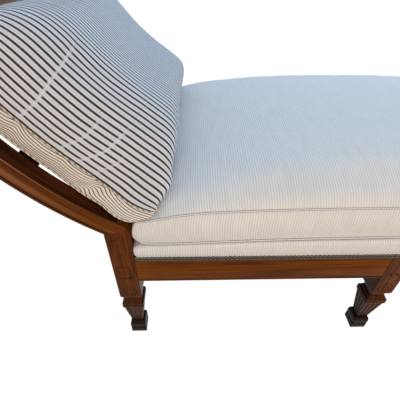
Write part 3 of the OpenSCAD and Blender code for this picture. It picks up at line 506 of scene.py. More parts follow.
def ribbed_cotton(name, settings, piping=False):
    """Corded cotton: rounded ribs with shadowed valleys, a plain weave of 0.5 mm threads drawn
    as 1 mm so that it shows, and a dry, slightly fuzzy face."""
    material, tree, uv, place = new_finish(name)
    along, around, _ = parted(tree, uv)
    across = maths(tree, "ADD", along, maths(tree, "MULTIPLY", around, 0.8)) if piping else along
    wave = maths(tree, "SINE", maths(tree, "MULTIPLY", across, 2 * math.pi / settings.rib))
    rib = smooth_between(tree, wave, -0.95, 0.15)
    wander = stretched_noise(tree, uv, (60.0, 12.0, 1.0), 2.0)
    weave = stretched_noise(tree, uv, (900.0, 900.0, 1.0), 1.0)
    stain = stretched_noise(tree, place, (4.0, 4.0, 4.0))
    body = blend_colours(tree, rib, settings.cotton_deep, settings.cotton)
    body = tinted(tree, body, settings.cotton_deep, wander, 0.35, 0.75, 0.3)
    body = tinted(tree, body, settings.cotton_deep, stain, 0.5, 0.8, 0.25)
    if piping:
        # Painted shade along the piping's inner flank
        body = blend_colours(tree, piping_painted_shade(tree, around), body, linear("#3f372f"))
    bump = (0.4, 0.0009, maths(tree, "ADD", rib, maths(tree, "MULTIPLY", weave, 0.5)))
    shaded(tree, body, 0.88, bump, Sheen_Weight=0.18, Sheen_Roughness=0.5, Specular_IOR_Level=0.25)
    return material


def beside_line(tree, flat, start, end, depth):
    """1 away from a line across the flat cloth, and less by depth along it, in a ragged band."""
    run = Vector(end) - Vector(start)
    turn = math.atan2(run.y, run.x)
    moved = add(tree, "ShaderNodeMapping", links={"Vector": flat, "Location": (-start[0], -start[1], 0)})
    spun = add(tree, "ShaderNodeMapping", links={"Vector": moved.outputs[0], "Rotation": (0, 0, -turn)})
    along, across, _ = parted(tree, spun.outputs[0])
    ragged = maths(tree, "MULTIPLY", stretched_noise(tree, flat, (160.0, 160.0, 1.0), 2.0), 0.005)
    away = maths(tree, "ADD", maths(tree, "ABSOLUTE", across), ragged)
    band = smooth_between(tree, away, 0.0062, 0.0022, 0.0, depth)
    inside = smooth_between(tree, along, run.length, run.length * 0.75)
    begun = smooth_between(tree, along, -0.005, 0.02)
    band = maths(tree, "MULTIPLY", band, maths(tree, "MULTIPLY", inside, begun))
    return maths(tree, "SUBTRACT", 1.0, band)


def piping_painted_shade(tree, around):
    """1 on the inner flank of a piping, where the stitching draws it into the cover: painted shade along the
    seam.
    """
    return smooth_between(tree, maths(tree, "DIVIDE", around, PIPE_R * 0.001), 1.45, 1.95, 0.0, 0.95)


def striped_ticking(name, settings, ground, stripe_tone, creases=(), piping=False):
    """Linen ticking: a tight twill with woven dark stripes, whose threads are 0.6 mm and drawn
    1 mm apart, dry and a little paler on the ridges."""
    material, tree, uv, _ = new_finish(name)
    along, around, _ = parted(tree, uv)
    thread = stretched_noise(tree, uv, (260.0, 1000.0, 1.0), 2.0)
    wander = stretched_noise(tree, uv, (18.0, 60.0, 1.0), 2.0)
    half, edge = settings.stripe_pitch / 2, settings.stripe_w / 2
    body = tinted(tree, ground, linear("#c2bcb2"), thread, 0.3, 0.7, 0.35)
    if piping:
        slanted = maths(tree, "PINGPONG", maths(tree, "ADD", along, around), half)
        body = tinted(tree, body, stripe_tone, slanted, edge * 1.6, edge * 0.6, 0.55)
        # Painted shade along the piping's inner flank
        body = blend_colours(tree, piping_painted_shade(tree, around), body, stripe_tone)
    else:
        place = maths(tree, "ADD", around, maths(tree, "MULTIPLY", wander, 0.0006))
        stripe = maths(tree, "PINGPONG", place, half)
        stripe = smooth_between(tree, stripe, edge + STRIPE_SOFT, edge - STRIPE_SOFT)
        hair = maths(tree, "PINGPONG", maths(tree, "ADD", place, half), half)
        hair = smooth_between(tree, hair, 0.0009, 0.0005, 0.0, 0.35)
        # Painted highlight: along each crease the stripes fade towards the ground where the fold catches the
        # light; the crease's dent itself is real shape
        kept = 1.0
        for start, end, depth in creases:
            kept = maths(tree, "MULTIPLY", kept, beside_line(tree, uv, start, end, depth))
        body = blend_colours(tree, maths(tree, "MULTIPLY", hair, kept), body, linear("#978d80"))
        body = blend_colours(tree, maths(tree, "MULTIPLY", stripe, kept), body, stripe_tone)
    bump = (0.4, 0.0005, thread)
    shaded(tree, body, 0.85, bump, Sheen_Weight=0.12, Sheen_Roughness=0.5, Specular_IOR_Level=0.25)
    return material


def woven(name, tone, other, pitch):
    """A plain weave: over and under threads in two directions, one pitch apart, coarse in jute
    and hessian and close in lining. Threads under 1 mm are drawn 1 mm apart so that they show."""
    material, tree, _, place = new_finish(name)
    x, y, _ = parted(tree, place)
    turns = [maths(tree, "SINE", maths(tree, "MULTIPLY", axis, math.pi / pitch)) for axis in (x, y)]
    cross = maths(tree, "MULTIPLY", *turns)
    fibre = stretched_noise(tree, place, (300.0, 300.0, 300.0), 2.0)
    body = tinted(tree, other, tone, cross, -0.6, 0.7)
    body = tinted(tree, body, other, fibre, 0.4, 0.8, 0.5)
    shaded(tree, body, 0.9, (0.6, pitch * 0.3, cross), Sheen_Weight=0.1, Specular_IOR_Level=0.2)
    return material


def spun_thread(name, tone, other):
    """Mercerised braid thread: two plies wound together every 3 mm, with a soft lustre."""
    material, tree, uv, place = new_finish(name)
    along, around, _ = parted(tree, uv)
    ply = maths(tree, "MULTIPLY", maths(tree, "ADD", along, around), 2 * math.pi / 0.003)
    ply = maths(tree, "SINE", ply)
    fibre = stretched_noise(tree, place, (500.0, 500.0, 500.0), 2.0)
    body = tinted(tree, other, tone, ply, -0.9, 0.3)
    body = tinted(tree, body, other, fibre, 0.45, 0.8, 0.5)
    shaded(tree, body, 0.62, (0.5, 0.0004, ply), Sheen_Weight=0.15)
    return material


def loose_fibre(name, tone, other):
    """Feather and fibre filling in a down-proof case, or hair stuffing: a matt, clouded surface."""
    material, tree, _, place = new_finish(name)
    cloud = stretched_noise(tree, place, (25.0, 25.0, 25.0), 5.0, 0.7)
    strand = stretched_noise(tree, place, (400.0, 90.0, 400.0), 3.0, 0.6, 2.0)
    body = tinted(tree, tone, other, cloud, 0.35, 0.7)
    shaded(tree, body, 0.95, (0.6, 0.001, strand), Sheen_Weight=0.1)
    return material


def drawn_metal(name, tone, rough):
    """Turned steel or brass: fine turning marks 0.3 mm apart and a dulled shine."""
    material, tree, _, place = new_finish(name)
    marks = stretched_noise(tree, place, (400.0, 3000.0, 400.0), 2.0)
    tarnish = stretched_noise(tree, place, (60.0, 60.0, 60.0))
    body = tinted(tree, tone, linear("#4a4036"), tarnish, 0.45, 0.8, 0.4)
    rough = smooth_between(tree, tarnish, 0.3, 0.8, rough, rough + 0.2)
    shaded(tree, body, rough, (0.2, 0.0002, marks), Metallic=1.0)
    return material


# Wood


def knee_top(x):
    """Height of the head leg's mitre at x, or of the rounded corner where that is lower."""
    mitre = KNEE_OUT[1] + (x - KNEE_OUT[0]) * math.tan(MITRE)
    round_ = KNEE_C[1] + np.sqrt(np.maximum(0, KNEE_R**2 - np.maximum(0, x - KNEE_C[0]) ** 2))
    return np.minimum(mitre, round_)


def leg_rows(head):
    """Heights and half widths up a leg: foot, fluted shaft, collar, neck, lobe and block."""
    arc = np.radians(np.linspace(0, 90, 9))
    lobe = np.linspace(LOBE_A, 0, 12)
    shaft = np.linspace(0, 1, 46)[1:]
    z = [[0, 0.8, 2, 8, *(FOOT_LINE + np.array([-3, -1.2, 0, 1.2, 3])), FOOT_H - 2]]
    w = [FOOT_W / 2 - np.array([2, 0.9, 0, 0, 0, 0.5, 1.6, 0.5, 0, 0])]
    z.append(FOOT_H + FOOT_TOP * np.sin(arc))
    w.append(SHAFT_LOW_W / 2 + (FOOT_W - SHAFT_LOW_W) / 2 * np.cos(arc))
    z.append(FOOT_H + FOOT_TOP + shaft * (COLLAR_LOW - FOOT_H - FOOT_TOP))
    w.append(SHAFT_LOW_W / 2 + shaft * (SHAFT_TOP_W - SHAFT_LOW_W) / 2)
    collar = [0.1, 0.4, 1.2, 3, 5.5, 6.6, 7.3, 8, 8.5, 9, 9.7, 10.4, 11.5, 14, 15.8, 16.6, 17]
    z.append(COLLAR_LOW + np.array(collar))
    w.append(HALF_LEG - np.array([0.9, 0.35, 0, 0, 0, 0, 0, 0, 0, 0, 0, 0, 0, 0, 0, 0.35, 0.9]))
    slope = np.linspace(0, 1, 8)[1:]
    ogee = slope + 0.1 * np.sin(2 * np.pi * slope)
    z.append(NECK_LOW - COLLAR_SLOPE * (1 - slope))
    w.append(HALF_LEG - 0.9 - (HALF_LEG - 0.9 - NECK_W / 2) * ogee)
    z.append([NECK_LOW + 2, NECK_LOW + NECK_H / 2, NECK_LOW + NECK_H - 1.5])
    w.append([NECK_W / 2] * 3)
    z.append(LOBE_Z + LOBE_R * np.sin(lobe))
    w.append(LOBE_X + LOBE_R * np.cos(lobe))
    if head:
        block = np.arange(LOBE_Z + 1.2, KNEE_C[1], 1.2)
    else:
        block = np.concatenate(
            [
                np.arange(LOBE_Z + 1.2, RAIL_LOW - 18, 1.2),
                np.arange(RAIL_LOW - 17, RAIL_LOW + 9, 5),
                np.arange(RAIL_LOW + 9, RAIL_LOW + 20, 0.9),
                np.arange(RAIL_LOW + 22, REBATE_LOW - 1, 7),
                [REBATE_LOW - 0.7, REBATE_LOW - 0.1, REBATE_LOW, RAIL_TOP - 6, RAIL_TOP],
            ]
        )
    z.append(block)
    w.append(np.full(len(block), HALF_LEG))
    z, w = np.concatenate(z), np.concatenate(w)
    return z, w


def panel_depth(a, z, low, left_top, right_top):
    """Incised frame line at the edge of a panel with a level foot and a sloped head."""
    x0, x1 = -HALF_LEG + LINE_INSET, HALF_LEG - PANEL_SIDE
    top = left_top + (right_top - left_top) * (a - x0) / (x1 - x0)
    inside = np.minimum(np.minimum(a - x0, x1 - a), np.minimum(z - low, top - z))
    return groove(inside - LINE_W / 2, LINE_W / 2)


def leg_carving(a, z, face, kind, w, depth):
    """How far the face is cut back at a across it and z up it, in mm."""
    cut = np.zeros_like(a + z)
    low, high = FOOT_H + FOOT_TOP + FLUTE_GAP, COLLAR_LOW - FLUTE_GAP
    ends = np.sqrt(np.clip(np.minimum(z - low + 2, high + 2 - z) / 4, 0, 1))
    for i in (-1, 0, 1):
        d = (a - i * 2 * FLUTE_STEP * w) / FLUTE_R
        cut = np.maximum(cut, FLUTE_R * 0.8 * np.sqrt(np.clip(1 - d**2, 0, 1)) * ends)
    cut = np.maximum(cut, depth * groove(z - COLLAR_LOW - COLLAR_H / 2, LINE_W / 2) + 0 * a)
    if face == 0:
        r = np.hypot(a, z - ROUNDEL_Z)
        ring = groove(r - ROUNDEL_R + LINE_W / 2, LINE_W / 2 + 0.3)
        boss = groove(r - BOSS_R + LINE_W / 2, LINE_W / 2 + 0.3)
        dish = 0.45 * (1 - np.clip(((r - DISH_R) / DISH_W) ** 2, 0, 1)) + 0.2
        dome = 0.5 * np.clip(r / DOME_R, 0, 1) ** 2
        shape = np.where(r < BOSS_R - LINE_W, dome, np.where(r < ROUNDEL_R, 0.75 - dish, 0))
        cut = np.maximum(cut, np.maximum(shape * (r < ROUNDEL_R), depth * np.maximum(ring, boss)))
        spots = {"head": [1], "mid": [-1, 1], "foot": [-1]}[kind]
        for side in spots:
            spot = np.hypot(a - side * (HALF_LEG - PEG_INSET), z - RAIL_LOW - PEG_RISE)
            cut = np.maximum(cut, PEG_SINK * (spot < PEG_R + 0.7))
        if kind == "head":
            drop = PANEL_DROP + LINE_INSET
            tall = panel_depth(a, z, PANELS_HIGH, KNEE_OUT[1] - drop, KNEE_IN[1] - drop)
            panels = np.maximum(panel_depth(a, z, PANELS_LOW, PANELS_TOP, PANELS_TOP), tall)
            cut = np.maximum(cut, depth * panels)
    if kind != "head" and (face == 0 or (face == 1 and kind == "foot")):
        cut = np.maximum(cut, REBATE_D * (z >= REBATE_LOW - 0.05))
    return cut


def leg_patches(kind, i, ease, depth):
    """A leg: a rounded square whose half width follows the turned profile, cut back by its carving."""
    z, w = leg_rows(kind == "head")
    side, corner = 46, 5
    s = np.linspace(-1, 1, side)
    turn = np.linspace(0, np.pi / 2, corner + 2)[1:-1]
    cx, cy, nx, ny, face = [], [], [], [], []
    for f in range(4):
        a = (f - 1) * np.pi / 2
        n, t = np.array([np.cos(a), np.sin(a)]), np.array([-np.sin(a), np.cos(a)])
        cx.append(n[0] + t[0] * s), cy.append(n[1] + t[1] * s)
        nx.append(np.full(side, n[0])), ny.append(np.full(side, n[1]))
        face.append(np.full(side, f))
        cx.append(np.full(corner, n[0] + t[0])), cy.append(np.full(corner, n[1] + t[1]))
        nx.append(np.cos(a + turn)), ny.append(np.sin(a + turn))
        face.append(np.full(corner, -1))
    cx, cy, nx, ny, face = (np.concatenate(k + [k[0][:1]]) for k in (cx, cy, nx, ny, face))
    round_ = np.where((z > COLLAR_LOW) & (z < COLLAR_LOW + COLLAR_H), 0.8, 1.0) * ease * 1000
    core = (w - round_)[:, None]
    x = cx[None] * core + nx[None] * round_[:, None]
    y = cy[None] * core + ny[None] * round_[:, None]
    height = np.broadcast_to(z[:, None], x.shape).copy()
    if kind == "head":
        lift = np.clip((z - MITRE_FROM) / (z[-1] - MITRE_FROM), 0, 1)[:, None]
        height = height + lift * (knee_top(x) - z[-1])
    for f in range(4):
        mask = face == f
        a = cx[mask] * 0 + (x[:, mask] if f in (0, 2) else y[:, mask])
        a = a if f != 2 else -a
        cut = leg_carving(a, height[:, mask], f, kind, w[:, None], depth * 1000)
        x[:, mask] -= nx[mask] * cut
        y[:, mask] -= ny[mask] * cut
    if kind == "head":
        y = np.where(height > RAIL_TOP, np.minimum(y, STILE_T - HALF_LEG), y)
    points = np.stack([x + i * PITCH, y + HALF_LEG - HALF_DEPTH, height], -1)
    around = arc_length(np.stack([cx, cy], -1)) * HALF_LEG
    uv = flat_mm(height, around[None] + GRAIN_SHIFT * i)
    front = side + corner
    # The outer face and one corner take the show finish; the other three faces take the second finish, which
    # is painted shade
    body = [grid(points[:, : front + 1], uv[:, : front + 1]), (*grid(points[:, front:], uv[:, front:]), 1)]
    share = np.linspace(1, 0, 16)[:, None]
    caps = []
    for row, top in ((0, False), (-1, True)):
        px, py = x[row][None] * share, (y[row][None] - y[row].mean()) * share + y[row].mean()
        pz = np.broadcast_to(height[row], px.shape)
        if kind == "head" and top:
            pz = knee_top(px)
        cap = np.stack([px + i * PITCH, py + HALF_LEG - HALF_DEPTH, pz], -1)
        caps.append(grid(cap, np.stack([px, py], -1) * 0.001))
    return [*body, *caps]


def stile_points(k, share, extend):
    """Side view of a stile at depth k: share 0 to 1 along the sweep, 1 to 2 round the scroll, then
    extend times the half circle that ends it. The sweep starts on the knee's mitre or its rounding."""
    r = SWEEP_R + k
    normal = np.array([-math.sin(MITRE), math.cos(MITRE)])
    reach = float((SWEEP_C - KNEE_OUT) @ normal)
    on_mitre = np.arccos(np.clip(reach / r, -1, 1)) - MITRE
    gap = SWEEP_C - KNEE_C
    far = math.hypot(*gap)
    spread = np.arccos(np.clip((r**2 + far**2 - KNEE_R**2) / (2 * r * far), -1, 1))
    on_round = math.atan2(gap[0], gap[1]) - spread
    start = np.where(r < SWEEP_IN + 8, np.maximum(on_mitre, on_round), on_mitre)
    a = start + np.clip(share, 0, 1) * (A1 - start)
    x, z = SWEEP_C[0] - r * np.sin(a), SWEEP_C[1] - r * np.cos(a)
    b = math.pi / 2 - A1 + np.clip(share - 1, 0, 1) * (A1 + math.radians(SCROLL_TURN))
    q = SCROLL_R - k
    past = np.broadcast_to(share, x.shape) > 1
    x = np.where(past, SCROLL_C[0] + q * np.cos(b), x)
    z = np.where(past, SCROLL_C[1] + q * np.sin(b), z)
    over = extend * np.sqrt(np.maximum(0, (STILE_D / 2) ** 2 - k**2))
    last = math.pi / 2 + math.radians(SCROLL_TURN)
    return x - over * math.sin(last), z + over * math.cos(last)


def stile_patches(depth, ease):
    """A stile: a rounded rectangle carried up the sweep and round the scroll, with incised lines
    that meet round the scroll's eye. Straight lines across its thickness close both ends."""
    half, r = STILE_D / 2, ease * 1000
    k_face, y_face = np.linspace(-half + r, half - r, 44), np.linspace(r, STILE_T - r, 12)
    turn = np.linspace(0, np.pi / 2, 6)[1:-1]
    over, back_in = r * np.sin(turn), r - r * np.cos(turn)
    far_k, far_y = np.full(12, half), np.full(44, STILE_T)
    k = [k_face, half - r + over, far_k, half - back_in, k_face[::-1], -half + r - over]
    k = np.concatenate([*k, -far_k, -half + back_in, k_face[:1]])
    y = [0 * k_face, back_in, y_face, STILE_T - r + over, far_y, STILE_T - back_in, y_face[::-1]]
    y = np.concatenate([*y, r - over, [0.0]])
    share = np.concatenate([np.linspace(0, 1, 150), 1 + np.linspace(0, 1, 121)[1:], np.full(14, 2.0)])
    extend = np.concatenate([np.zeros(270), np.sin(np.linspace(0, np.pi / 2, 15))[1:]])
    x, z = stile_points(k[None], share[:, None], extend[:, None])
    turned = math.radians(SCROLL_TURN)
    eye = SCROLL_C + SCROLL_R * np.array([-math.sin(turned), math.cos(turned)])
    away = np.hypot(x - eye[0], z - eye[1])
    line = half - LINE_INSET - LINE_W / 2
    ended = extend[:, None] > 0
    d = np.where(ended, away - line, np.abs(k)[None] - line)
    cut = groove(d, LINE_W / 2 + 0.2)
    near = (share[:, None] > 1.5) & (away < EYE_BOSS_R + 1)
    edge = groove(away - EYE_BOSS_R + LINE_W / 2, LINE_W / 2 + 0.2)
    dome = np.where(away < EYE_DOME_R, 0.6 * np.clip(away / EYE_DOME_R, 0, 1) ** 2, 0)
    cut = np.where(near, np.maximum(dome, edge), cut)
    barrel = STILE_BARREL * (k / half) ** 2 * np.clip(1 - y / (STILE_T / 4), 0, 1)
    depth_y = (y + barrel)[None] + np.where(y[None] == 0, cut * depth * 1000, 0)
    points = np.stack([x, depth_y - HALF_DEPTH, z], -1)
    run = arc_length(points_of(*stile_points(0.0, share, extend)))
    around = arc_length(np.stack([k, y], -1))
    uv = flat_mm(run[:, None], around[None])
    around_n, across = len(k) - 1, np.arange(len(k_face) + 2 * len(turn) + 2)
    front = (around_n - len(turn) - 1 + across) % around_n
    back = around_n - len(turn) - len(y_face) - across
    line_y = points[0, back[0] : front[0] + 1, 1][::-1]
    share_y = ((line_y - line_y[0]) / (line_y[-1] - line_y[0]))[:, None, None]
    flat = np.stack([k, y], -1) * 0.001
    flat = flat[front] + share_y * (flat[back] - flat[front])
    rows = (points[0], points[-1])
    foot, end = (grid(row[front] + share_y * (row[back] - row[front]), flat) for row in rows)
    # The stile's top face under the cushion, with its corners, takes the second finish, which is painted
    # shade
    split = 2 * 44 + 12 + 2 * len(turn)
    shown = grid(points[:, : split + 1], uv[:, : split + 1])
    inner = grid(points[:, split:], uv[:, split:])
    return [shown, (*inner, 1), end, foot]


def crest_patches(ease):
    """The crest: a board bent round the scroll, a rounded rectangle carried round its axis."""
    r0 = SCROLL_R + STILE_D / 2 - CREST_INSET - CREST_T
    patches = []
    clear = DEPTH - 2 * STILE_T
    for inset, width, lead in ((0.0, clear, 0.0), (CREST_T / 4, clear + 2 * CREST_TENON, CREST_LEAD)):
        r1, r2 = r0 + inset, r0 + CREST_T - inset
        outline = ring(eased(rectangle(r1, r2, -width / 2, width / 2), ease * 1000))
        b = np.radians(np.linspace(90 - SWEEP_A1 + lead, 90 + SCROLL_TURN - lead, 90))
        x = SCROLL_C[0] + outline[None, :, 0] * np.cos(b)[:, None]
        z = SCROLL_C[1] + outline[None, :, 0] * np.sin(b)[:, None]
        y = np.broadcast_to(outline[None, :, 1], x.shape)
        points = np.stack([x, y, z], -1)
        grain = flat_mm(outline[None, :, 1], b[:, None] * CREST_MID_R)
        patches += [grid(points, grain), *closed_ends(points)]
    return patches


def rail_outline():
    """Section of a side rail, outer face at 0: a round bead along the foot, a groove over it, and
    the rebate for the cover and the braid along the top."""
    bead = np.radians(np.linspace(-90, 90, 13))
    half = BEAD_H / 2
    line, rebate = BEAD_H + LINE_W, RAIL_H - REBATE_H
    points = [(0.9 * half * (1 - math.cos(t)), half * (1 + math.sin(t))) for t in bead]
    points += [(1.6, BEAD_H + 0.3), (1.6, line - 0.5), (0.9, line), (0.2, line + 0.9), (0.0, line + 2)]
    points += [(0.0, rebate - 1), (0.4, rebate - 0.3), (REBATE_D, rebate), (REBATE_D, RAIL_H)]
    points = [(RAIL_T, 0.0), *points, (RAIL_T, RAIL_H)]
    return np.maximum(np.array(points), 0)


class RECAMIER_OT_legs(bpy.types.Operator):
    """Builds the six legs: a square section that follows the turned profile, cut back by its carving"""

    bl_idname = "recamier.legs"
    bl_label = "Legs"

    def execute(self, context):
        wood = context.scene.recamier_wood
        tones = (wood.dark, wood.foot)
        face = polished_wood("French_polished_mahogany", wood.ground, wood.light, *tones)
        # The second finish is painted shade for the legs' sides and backs
        finish = (face, polished_wood("Painted_shade_sides", wood.shade, wood.ground, *tones))
        for i, kind in enumerate(("head", "mid", "foot")):
            patches = leg_patches(kind, i, wood.ease, wood.carving)
            both_sides(patches, kind + "_leg_{}_turned", kind + "_leg_{}", finish, 40)
        return {"FINISHED"}


class RECAMIER_OT_rails(bpy.types.Operator):
    """Builds the moulded side rails and the plain cross rails: outlines carried along straight lines"""

    bl_idname = "recamier.rails"
    bl_label = "Rails"

    def execute(self, context):
        wood = context.scene.recamier_wood
        show = polished_wood("French_polished_mahogany_rails", wood.ground, wood.light, wood.dark)
        ease = wood.ease * 1000
        inset = (RAIL_T - TENON_T) / 2
        tongue = rectangle(inset, inset + TENON_T, TENON_SHOULDER, RAIL_H - TENON_SHOULDER)
        for i, part in enumerate(("head", "foot")):
            x0, x1 = i * PITCH + HALF_LEG, (i + 1) * PITCH - HALF_LEG
            y = -HALF_DEPTH
            patches = bar(rail_outline(), (x0, y, RAIL_LOW), (x1, y, RAIL_LOW), Y, UP, 0.7 * i)
            for a, b in ((x0 - TENON_LEN, x0 + 2), (x1 - 2, x1 + TENON_LEN)):
                patches += bar(tongue, (a, y, RAIL_LOW), (b, y, RAIL_LOW), Y, UP)
            both_sides(patches, "{}_rail_" + part + "_moulded", "{}_rail_" + part, show, 30)
        span = (DEPTH - 2 * LEG_W) / 2
        for name, x in (("head", -HALF_LEG), ("mid", PITCH - RAIL_T / 2), ("foot", FOOT_END - RAIL_T)):
            top = [(RAIL_T, RAIL_H), (0, RAIL_H)]
            if name == "foot":
                d, low = RAIL_T - REBATE_D, RAIL_H - REBATE_H
                top = [(RAIL_T, low), (d, low), (d, RAIL_H), (0, RAIL_H)]
            outline = eased([(0, 0), (RAIL_T, 0), *top], ease)
            patches = bar(outline, (x, -span, RAIL_LOW), (x, span, RAIL_LOW), X, UP, 0.3)
            for a, b in ((-span - TENON_LEN, -span + 2), (span - 2, span + TENON_LEN)):
                patches += bar(tongue, (x, a, RAIL_LOW), (x, b, RAIL_LOW), X, UP)
            node = f"{name}_cross_rail"
            dressed(f"{node}_planed", patches, show, 30, "frame", "show_wood", node)
        return {"FINISHED"}


class RECAMIER_OT_head_end(bpy.types.Operator):
    """Builds the scrolled stiles, the cross slats and the bent crest: sections carried round arcs"""

    bl_idname = "recamier.head_end"
    bl_label = "Head end"

    def execute(self, context):
        wood = context.scene.recamier_wood
        tones = (wood.ground, wood.light, wood.dark)
        # The stiles carry a painted highlight band along their face
        show = polished_wood("French_polished_mahogany_stiles", *tones, faded=wood.faded)
        # The second finish is painted shade for the stiles' top faces under the cushion
        finish = (show, polished_wood("Painted_shade_inside", wood.shade, wood.ground, wood.dark))
        patches = stile_patches(wood.carving, wood.ease)
        both_sides(patches, "head_stile_{}_scrolled", "head_stile_{}", finish, 40)
        patches = crest_patches(wood.ease)
        dressed("crest_rail_bent", patches, show, 30, "frame", "show_wood", "crest_rail")
        # The slats' near-black finish is painted shade
        shaded_slat_finish = polished_wood("Painted_shade_slats", wood.slat, wood.shade, wood.dark, gloss=0.42)
        for i, name in enumerate(("low", "mid", "high")):
            a = math.radians(SWEEP_A0 + SLAT_A0 + i * SLAT_STEP)
            middle = SWEEP_C - (SWEEP_IN + SLAT_T / 2) * np.array([math.sin(a), math.cos(a)])
            along, up = (math.cos(a), 0, -math.sin(a)), (math.sin(a), 0, math.cos(a))
            patches = []
            clear = HALF_DEPTH - STILE_T
            for shoulder, half in ((0, clear), (3, clear + SLAT_TENON)):
                w, t = SLAT_W / 2 - shoulder, SLAT_T / 2 - shoulder
                outline = eased(rectangle(-w, w, -t, t), SLAT_EASE - shoulder)
                start, end = (middle[0], -half, middle[1]), (middle[0], half, middle[1])
                patches += bar(outline, start, end, along, up, 0.8 * i)
            node = f"back_slat_{name}"
            dressed(f"{node}_eased", patches, shaded_slat_finish, 40, "frame", "slat_wood", node)
        return {"FINISHED"}


class RECAMIER_OT_joinery(bpy.types.Operator):
    """Finishes the pegs, dowels, corner blocks and screws, whose solids stay as they are"""

    bl_idname = "recamier.joinery"
    bl_label = "Joinery"

    def execute(self, context):
        wood = context.scene.recamier_wood
        tones = (wood.block, linear("#d8b684"), linear("#8a6538"))
        beech = polished_wood("Planed_beech", *tones, gloss=0.6, flat=False)
        tones = (linear("#1a0e08"), linear("#2c180d"), linear("#0c0604"))
        finishes = {
            "joint_pegs": polished_wood("Ebonised_pegs", *tones, flat=False),
            "knee_dowels": beech,
            "corner_blocks": beech,
            "corner_block_screws": drawn_metal("Turned_steel_screws", linear("#b9b3a8"), 0.35),
        }
        for name, finish in finishes.items():
            NODES[name].data.materials.clear()
            NODES[name].data.materials.append(finish)
        return {"FINISHED"}


# Deck


def deck_top(x):
    """Height of the deck: its ends' height plus a crown that falls off with the cube from the middle."""
    half = (DECK_RIGHT - DECK_LEFT) / 2
    share = np.minimum(1, np.abs(x - DECK_LEFT - half) / half)
    return RAIL_TOP + DECK_EDGE + DECK_CROWN * (1 - share**DECK_SHARE)


def deck_loop(step):
    """Plan of the deck, notched round the uprights: points about step apart, with outward normals.
    Its front half is sampled from the middle of the head end to that of the foot, then mirrored."""
    x0, x1, x2, y1, y0 = DECK_TONGUE, DECK_LEFT, DECK_RIGHT, DECK_FRONT, DECK_NOTCH
    corners = [(x0, -y0), (x1, -y0), (x1, -y1), (x2, -y1), (x2, y1), (x1, y1), (x1, y0), (x0, y0)]
    outline = eased(corners, [8, 2, 8, 12, 12, 8, 2, 8], 6)
    outline = np.concatenate([[(x0, 0.0)], outline[outline[:, 1] < 0], [(x2, 0.0)]])
    run = arc_length(outline)
    even = np.linspace(0, run[-1], int(run[-1] / step))
    at = np.unique(np.concatenate([even, run]))
    at = at[np.concatenate([[True], np.diff(at) > 0.4])]
    at[-1] = run[-1]
    half = np.stack([np.interp(at, run, outline[:, i]) for i in (0, 1)], -1)
    body = np.concatenate([half, (half * (1, -1))[-2:0:-1]])
    at = np.concatenate([at, 2 * at[-1] - at[-2::-1]])
    tangent = np.roll(body, -1, 0) - np.roll(body, 1, 0)
    tangent /= np.linalg.norm(tangent, axis=1, keepdims=True)
    normal = np.stack([tangent[:, 1], -tangent[:, 0]], -1)
    return np.concatenate([body, body[:1]]), np.concatenate([normal, normal[:1]]), at


def spine(loop):
    """Where each point of the deck's plan meets its middle line: along its sides as far as the
    point has come, and at its two ends in one place."""
    ends = np.minimum(np.abs(loop[:, 0] - DECK_TONGUE), np.abs(loop[:, 0] - DECK_RIGHT)) < 0.01
    steps = np.linalg.norm(np.diff(loop, axis=0), axis=1) * ~(ends[1:] & ends[:-1])
    come = np.concatenate([[0], np.cumsum(steps)])
    share = 1 - np.abs(1 - 2 * come / come[-1])
    x = DECK_LEFT + SPINE_INSET + share * (DECK_RIGHT - DECK_LEFT - 2 * SPINE_INSET)
    return np.stack([x, np.zeros(len(x))], -1)


def deck_patches(full, low, noise):
    """The stuffed deck: its plan carried up a profile that comes out over the braid, rounds over
    the edge and runs level to the middle, where front and rear meet."""
    loop, normal, _ = deck_loop(DECK_STEP)
    top = deck_top(loop[:, 0])
    rise = np.linspace(0, 1, 9)
    edge = np.radians(np.linspace(0, 90, 7))[1:]
    r, swell = DECK_ROUND, DECK_SWELL if full else -DECK_SWELL
    out = [swell * np.sin(np.pi / 2 * np.clip(rise * 1.5, 0, 1)), swell - r + r * np.cos(edge)]
    out = [DECK_FLUSH + part for part in out]
    rows = [low + rise[:, None] * (top[None] - r - low), top[None] - r + r * np.sin(edge)[:, None]]
    if full:
        under = np.array([BED, RAIL_TOP, GIMP_LOW, GIMP_LOW, RAIL_TOP - 5, RAIL_TOP - 0.2])
        out.insert(0, np.repeat([-COVER_IN, -COVER_OUT], 3))
        rows.insert(0, np.broadcast_to(under[:, None], (len(under), len(top))))
    out, z = np.concatenate(out)[:, None], np.concatenate(rows)
    if noise is not None:
        out = out - noise[None] * np.exp(-(((z - RAIL_TOP - 2) / PUCKER_H) ** 2)) * (z > RAIL_TOP)
    out = np.broadcast_to(out, z.shape)
    xy = loop[None] + out[..., None] * normal[None]
    run = np.cumsum(np.hypot(np.diff(out, axis=0), np.diff(z, axis=0)), 0)
    over = (run[-1] - np.concatenate([np.zeros((1, len(top))), run]))[..., None]
    flat = (xy[-1][None] + over * normal[None]) * 0.001
    sides = grid(np.concatenate([xy, z[..., None]], -1), flat)
    middle = spine(loop)
    share = np.linspace(1, 0, 36)[:, None]
    plan = middle[None] + share[..., None] * (xy[-1] - middle)[None]
    height = deck_top(plan[..., 0]) + (top - deck_top(xy[-1][:, 0]))[None] * share**8
    crown = grid(np.concatenate([plan, height[..., None]], -1), plan * 0.001)
    plan = middle[None] + np.linspace(1, 0, 10)[:, None, None] * (xy[0] - middle)[None]
    base = np.full((*plan.shape[:2], 1), BED if full else low)
    return [sides, crown, grid(np.concatenate([plan, base], -1), plan * 0.001)]


